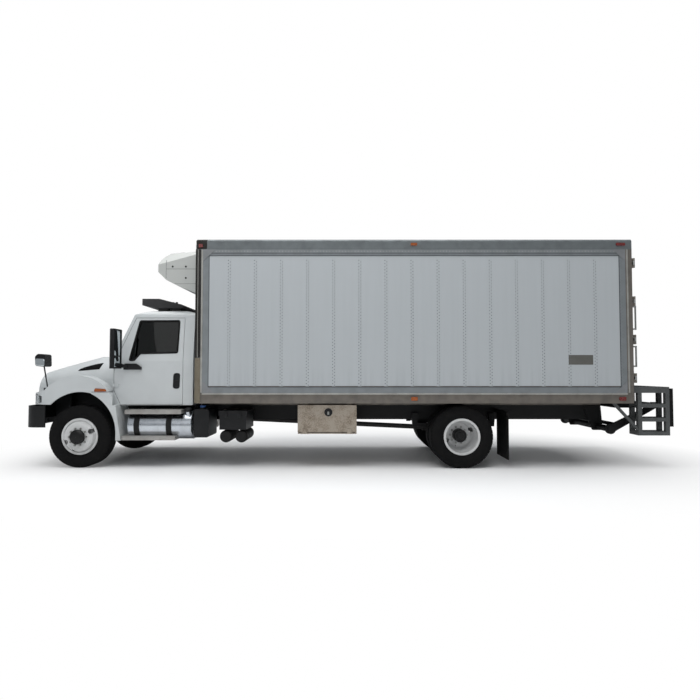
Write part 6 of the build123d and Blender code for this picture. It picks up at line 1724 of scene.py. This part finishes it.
@dataclass
class SideGear:
    """Step treads, tank cap and weld rings, the urea cap, and the latches of the battery box and toolbox."""

    axle_x: float = FRONT_AXLE_X
    tank_y: float = 0.88
    tank_z: float = 0.70
    tank_radius: float = 0.24
    weld_x: Row = (-0.806, -1.849)
    weld_half: float = 0.005
    weld_proud: float = 0.0022
    neck: Place = (-1.7975, 0.16, 0.262)
    neck_run: Place = (0.0, 0.04, 0.092)
    cap_radius: float = 0.058
    cap_rim: Span = (0.05, 0.04)
    urea_cap: float = 0.048
    urea_cap_inset: float = 0.09
    step_out_y: float = 1.15
    step_deep: float = 0.2
    steps: Rows = ((-0.762, -1.710, 0.906), (-0.714, -1.612, 0.466))
    step_height: float = 0.066
    sheet: float = 0.004
    grip_pitch: float = 0.045
    grip_y: Row = (0.975, 1.045, 1.115)
    latch_reach: float = 0.08
    latch_proud: float = 0.0135

    def build(self) -> None:
        """Dress the steps, tanks and toolbox."""
        self.treads()
        self.tank()
        self.toolbox()

    def treads(self) -> None:
        """A bent aluminium tread over each step, with a lip at its edge and raised grip buttons."""
        cover, grips = Shape(), Shape()
        edge = self.step_out_y
        deep = edge - self.step_deep
        for front, rear, low in self.steps:
            x0, x1 = self.axle_x + rear, self.axle_x + front
            top = low + self.step_height
            skin = top + self.sheet
            cover.block((x0 - 0.002, deep, top), (x1 + 0.002, edge + self.sheet, skin), 0.0015, 1)
            cover.block((x0 - 0.002, edge, low - 0.002), (x1 + 0.002, edge + 0.005, skin), 0.002, 2)
            for x in (x0 - 0.0035, x1):
                cover.block((x, deep, low), (x + 0.0035, edge + self.sheet, top + 0.003))
            for number in range(int((x1 - x0) / self.grip_pitch)):
                x = x0 + 0.03 + self.grip_pitch * number
                for y in self.grip_y:
                    grips.bar((x, y, top + 0.0035), (x, y, top + 0.008), 0.011, 8, 0.008)
        for shape, name in ((cover, "step_treads"), (grips, "step_grips")):
            shape.both_sides()
            shape.piece(name, CHASSIS, Palette.STEP_ALUMINIUM, "tank_aluminium")

    def tank(self) -> None:
        """The fuel tank's weld rings and black cap, the battery box's latches and the urea tank's cap."""
        rings = Shape()
        weld_radius = self.tank_radius + self.weld_proud
        for x in self.weld_x:
            at_x = self.axle_x + x
            rings.bar((at_x - self.weld_half, self.tank_y, self.tank_z),
                      (at_x + self.weld_half, self.tank_y, self.tank_z), weld_radius, 64)
        rings.piece("tank_weld_rings", CHASSIS, Palette.TANK, "tank_aluminium")
        cap = Shape()
        run = Vector(self.neck_run).normalized()
        neck = Vector((self.axle_x, self.tank_y, self.tank_z)) + Vector(self.neck)
        cap.bar(neck - run * 0.008, neck + run * 0.03, self.cap_radius, 24)
        cap.bar(neck + run * 0.03, neck + run * 0.038, self.cap_rim[0], 24, self.cap_rim[1])
        low, high = pair("battery_box")
        for x in (low.x + 0.12, high.x - 0.12):
            cap.block((x - 0.03, high.y, high.z - 0.11), (x + 0.03, high.y + 0.012, high.z - 0.02), 0.004)
        cap.piece("tank_cap_and_latches", CHASSIS, Palette.BLACK_PLASTIC, "black_plastic")
        low, high = pair("urea_tank")
        x, y = (low.x + high.x) / 2, high.y - self.urea_cap_inset
        blue = Shape()
        blue.bar((x, y, high.z - 0.02), (x, y, high.z + 0.012), self.urea_cap, 24)
        blue.piece("urea_cap", CHASSIS, Palette.CAP_BLUE, "black_plastic", weld=True)

    def toolbox(self) -> None:
        """Blacken the round latch dish on the toolbox door and set its small bright paddle."""
        low, high = pair("toolbox_door")
        x, face, z = (low.x + high.x) / 2 - 0.02, high.y - 0.006, high.z - 0.12
        repaint("toolbox_door", Palette.BLACK_PLASTIC, lambda centre, away: centre.y > face - self.latch_proud
                and abs(centre.x - x) < self.latch_reach and abs(centre.z - z) < self.latch_reach)
        latch = Shape()
        latch.block((x - 0.016, face - 0.002, z - 0.04), (x + 0.016, face + 0.006, z + 0.012), 0.003, 3)
        latch.piece("toolbox_latches", "toolbox_door_body", Palette.ZINC, "toolbox_steel")


@dataclass
class Cooler:
    """The refrigeration unit's seams, latches and the painted shade behind its louvres, and the roof unit's
    vents.
    """

    wall_x: float = 2.493
    half: float = 1.0
    seams: Rows = ((0.609, 0.614, 3.24, 3.56), (0.02, 0.611, 3.405, 3.41), (0.02, 0.46, 3.148, 3.152))
    latches: Spans = ((0.27, 3.45), (0.50, 3.45), (0.27, 3.25))
    latch_radius: Span = (0.018, 0.014)
    louvre_shade_plate: Corners = ((0.68, -0.565, 3.385), (0.692, 0.565, 3.62))
    vents: int = 9
    vent_share: float = 0.6

    def build(self) -> None:
        """Draw the seams in painted gap shade, set the latches and paint shade behind the louvres."""
        seams, latches, louvre_shade_plate = Shape(), Shape(), Shape()
        # The seam lines are painted shade in the gaps between the cooler's panels.
        for x0, x1, z0, z1 in self.seams:
            seams.block((self.wall_x + x0, self.half - 0.001, z0), (self.wall_x + x1, self.half + 0.0012, z1))
        seams.both_sides()
        seams.piece("cooler_seams", CHASSIS, Palette.GAP_SHADE, "rubber")
        foot_radius, head_radius = self.latch_radius
        for x, z in self.latches:
            at_x = self.wall_x + x
            latches.bar((at_x, self.half - 0.002, z), (at_x, self.half + 0.006, z), foot_radius, 16,
                        head_radius)
        latches.both_sides()
        latches.piece("cooler_latches", CHASSIS, Palette.BLACK_PLASTIC, "black_plastic")
        # A near-black plate behind the louvres: painted shade.
        louvre_shade_plate.block(*(Vector((self.wall_x, 0, 0)) + Vector(corner) for corner in self.louvre_shade_plate))
        louvre_shade_plate.piece("cooler_louvre_backing", CHASSIS, Palette.SHADOW, "black_plastic", weld=True)
        self.roof_unit_vents()

    def roof_unit_vents(self) -> None:
        """A row of dark slots of painted shade down each side of the roof unit."""
        low, high = pair("roof_unit")
        vents = Shape()
        step = (high.x - low.x - 0.2) / self.vents
        for number in range(self.vents):
            x = low.x + 0.12 + step * number
            vents.block((x, high.y - 0.03, high.z - 0.085),
                        (x + step * self.vent_share, high.y - 0.004, high.z - 0.06), 0.003, 1)
        vents.both_sides()
        vents.piece("roof_unit_vents", CHASSIS, Palette.SHADOW, "black_plastic")


@dataclass
class RearEnd:
    """The rear doors' seals and bare hardware, the pale roof sheet, rear lamps and the bed's treadplate."""

    face_x: float = -4.822
    rod_proud: float = 0.004
    door_y: Span = (0.004, 1.196)
    door_z: Span = (1.405, 3.554)
    seal_width: float = 0.03
    header_lamp_y: Row = (-0.17, 0.0, 0.17)
    header_lamp_z: Span = (3.60, 3.64)
    bed_lamp_y: Row = (0.86, 1.0)
    bed_lamp_drop: float = 0.06
    bed_lamp_radius: Span = (0.048, 0.042)
    markers_middle_x: float = -1.16
    markers_amber_reach: float = 2.0
    lozenge_pitch: float = 0.05
    lozenge_half: Span = (0.014, 0.004)
    lozenge_rise: float = 0.0018

    def build(self) -> None:
        """Seal the doors, set the lamps and lay the treadplate."""
        for side in Side:
            self.door_seal(side)
            repaint(f"rear_door_{side.label}", Palette.ZINC,
                    lambda centre, away: centre.x < self.face_x - self.rod_proud)
        # Upward roof faces get the pale sheet; the rest keeps the top rail's painted shade.
        repaint("box_roof", Palette.BOX_PANEL, lambda centre, away: away.z > 0.9)
        self.lamps()
        self.treadplate()

    def door_seal(self, side: Side) -> None:
        """Set a black seal round one rear door.

        Args:
            side: The door's side.
        """
        (inner, outer), (low, high) = self.door_y, self.door_z
        seal = Shape()
        x = self.face_x + 0.001
        seal.frame_ring([(x, inner, low), (x, inner, high), (x, outer, high), (x, outer, low)],
                        self.seal_width, 0.006, 0.004)
        seal.to_side(side)
        seal.piece(f"rear_door_seal_{side.label}", f"rear_door_{side.label}_body", Palette.RUBBER, "rubber",
                   weld=True)

    def lamps(self) -> None:
        """Three red lamps in the header, and two round ones at each end of the bed's rear edge."""
        red = Shape()
        low, high = self.header_lamp_z
        for y in self.header_lamp_y:
            red.block((self.face_x - 0.018, y - 0.05, low), (self.face_x + 0.002, y + 0.05, high), 0.008, 3)
        bed_low, bed_high = pair("rear_steps")
        z = bed_high.z - self.bed_lamp_drop
        foot_radius, face_radius = self.bed_lamp_radius
        for y in self.bed_lamp_y:
            for turn in (-1, 1):
                red.bar((bed_low.x + 0.002, turn * y, z), (bed_low.x - 0.014, turn * y, z), foot_radius, 24,
                        face_radius)
        red.piece("rear_lamps", CHASSIS, Palette.RED, "lamp_lens")
        repaint("marker_lamps", Palette.RED,
                lambda centre, away: abs(centre.x - self.markers_middle_x) > self.markers_amber_reach)

    def treadplate(self) -> None:
        """Raised lozenges over the bed, laid two ways in turn."""
        low, high = pair("rear_steps")
        plate = Shape()
        long_half, short_half = self.lozenge_half
        columns = int((self.face_x - low.x - 0.06) / self.lozenge_pitch)
        rows = int((high.y - low.y - 0.08) / self.lozenge_pitch)
        for column in range(columns):
            for row in range(rows):
                middle = Vector((low.x + 0.04 + column * self.lozenge_pitch,
                                 low.y + 0.05 + row * self.lozenge_pitch, high.z))
                turn = 1 if (column + row) % 2 else -1
                tip = Vector((long_half, long_half * turn, 0))
                side = Vector((short_half, -short_half * turn, 0))
                corners = [middle - tip, middle + side, middle + tip, middle - side]
                plate.plate(corners, (0, 0, self.lozenge_rise))
        plate.piece("bed_treadplate", CHASSIS, Palette.FRAME_BLACK, "tread_steel")


ASSEMBLIES: tuple = (RunningGear(), BoxSides(), CabOutside(), CabInside(), HoodTrim(),
                     Underbody(), SideGear(), Cooler(), RearEnd())


def main() -> None:
    """Build the studio, dress the truck and report each piece."""
    logging.basicConfig(level=logging.INFO, format="%(name)s %(message)s")
    Studio().build()
    dress_nodes()
    for assembly in ASSEMBLIES:
        assembly.build()


if __name__ == "__main__":
    main()
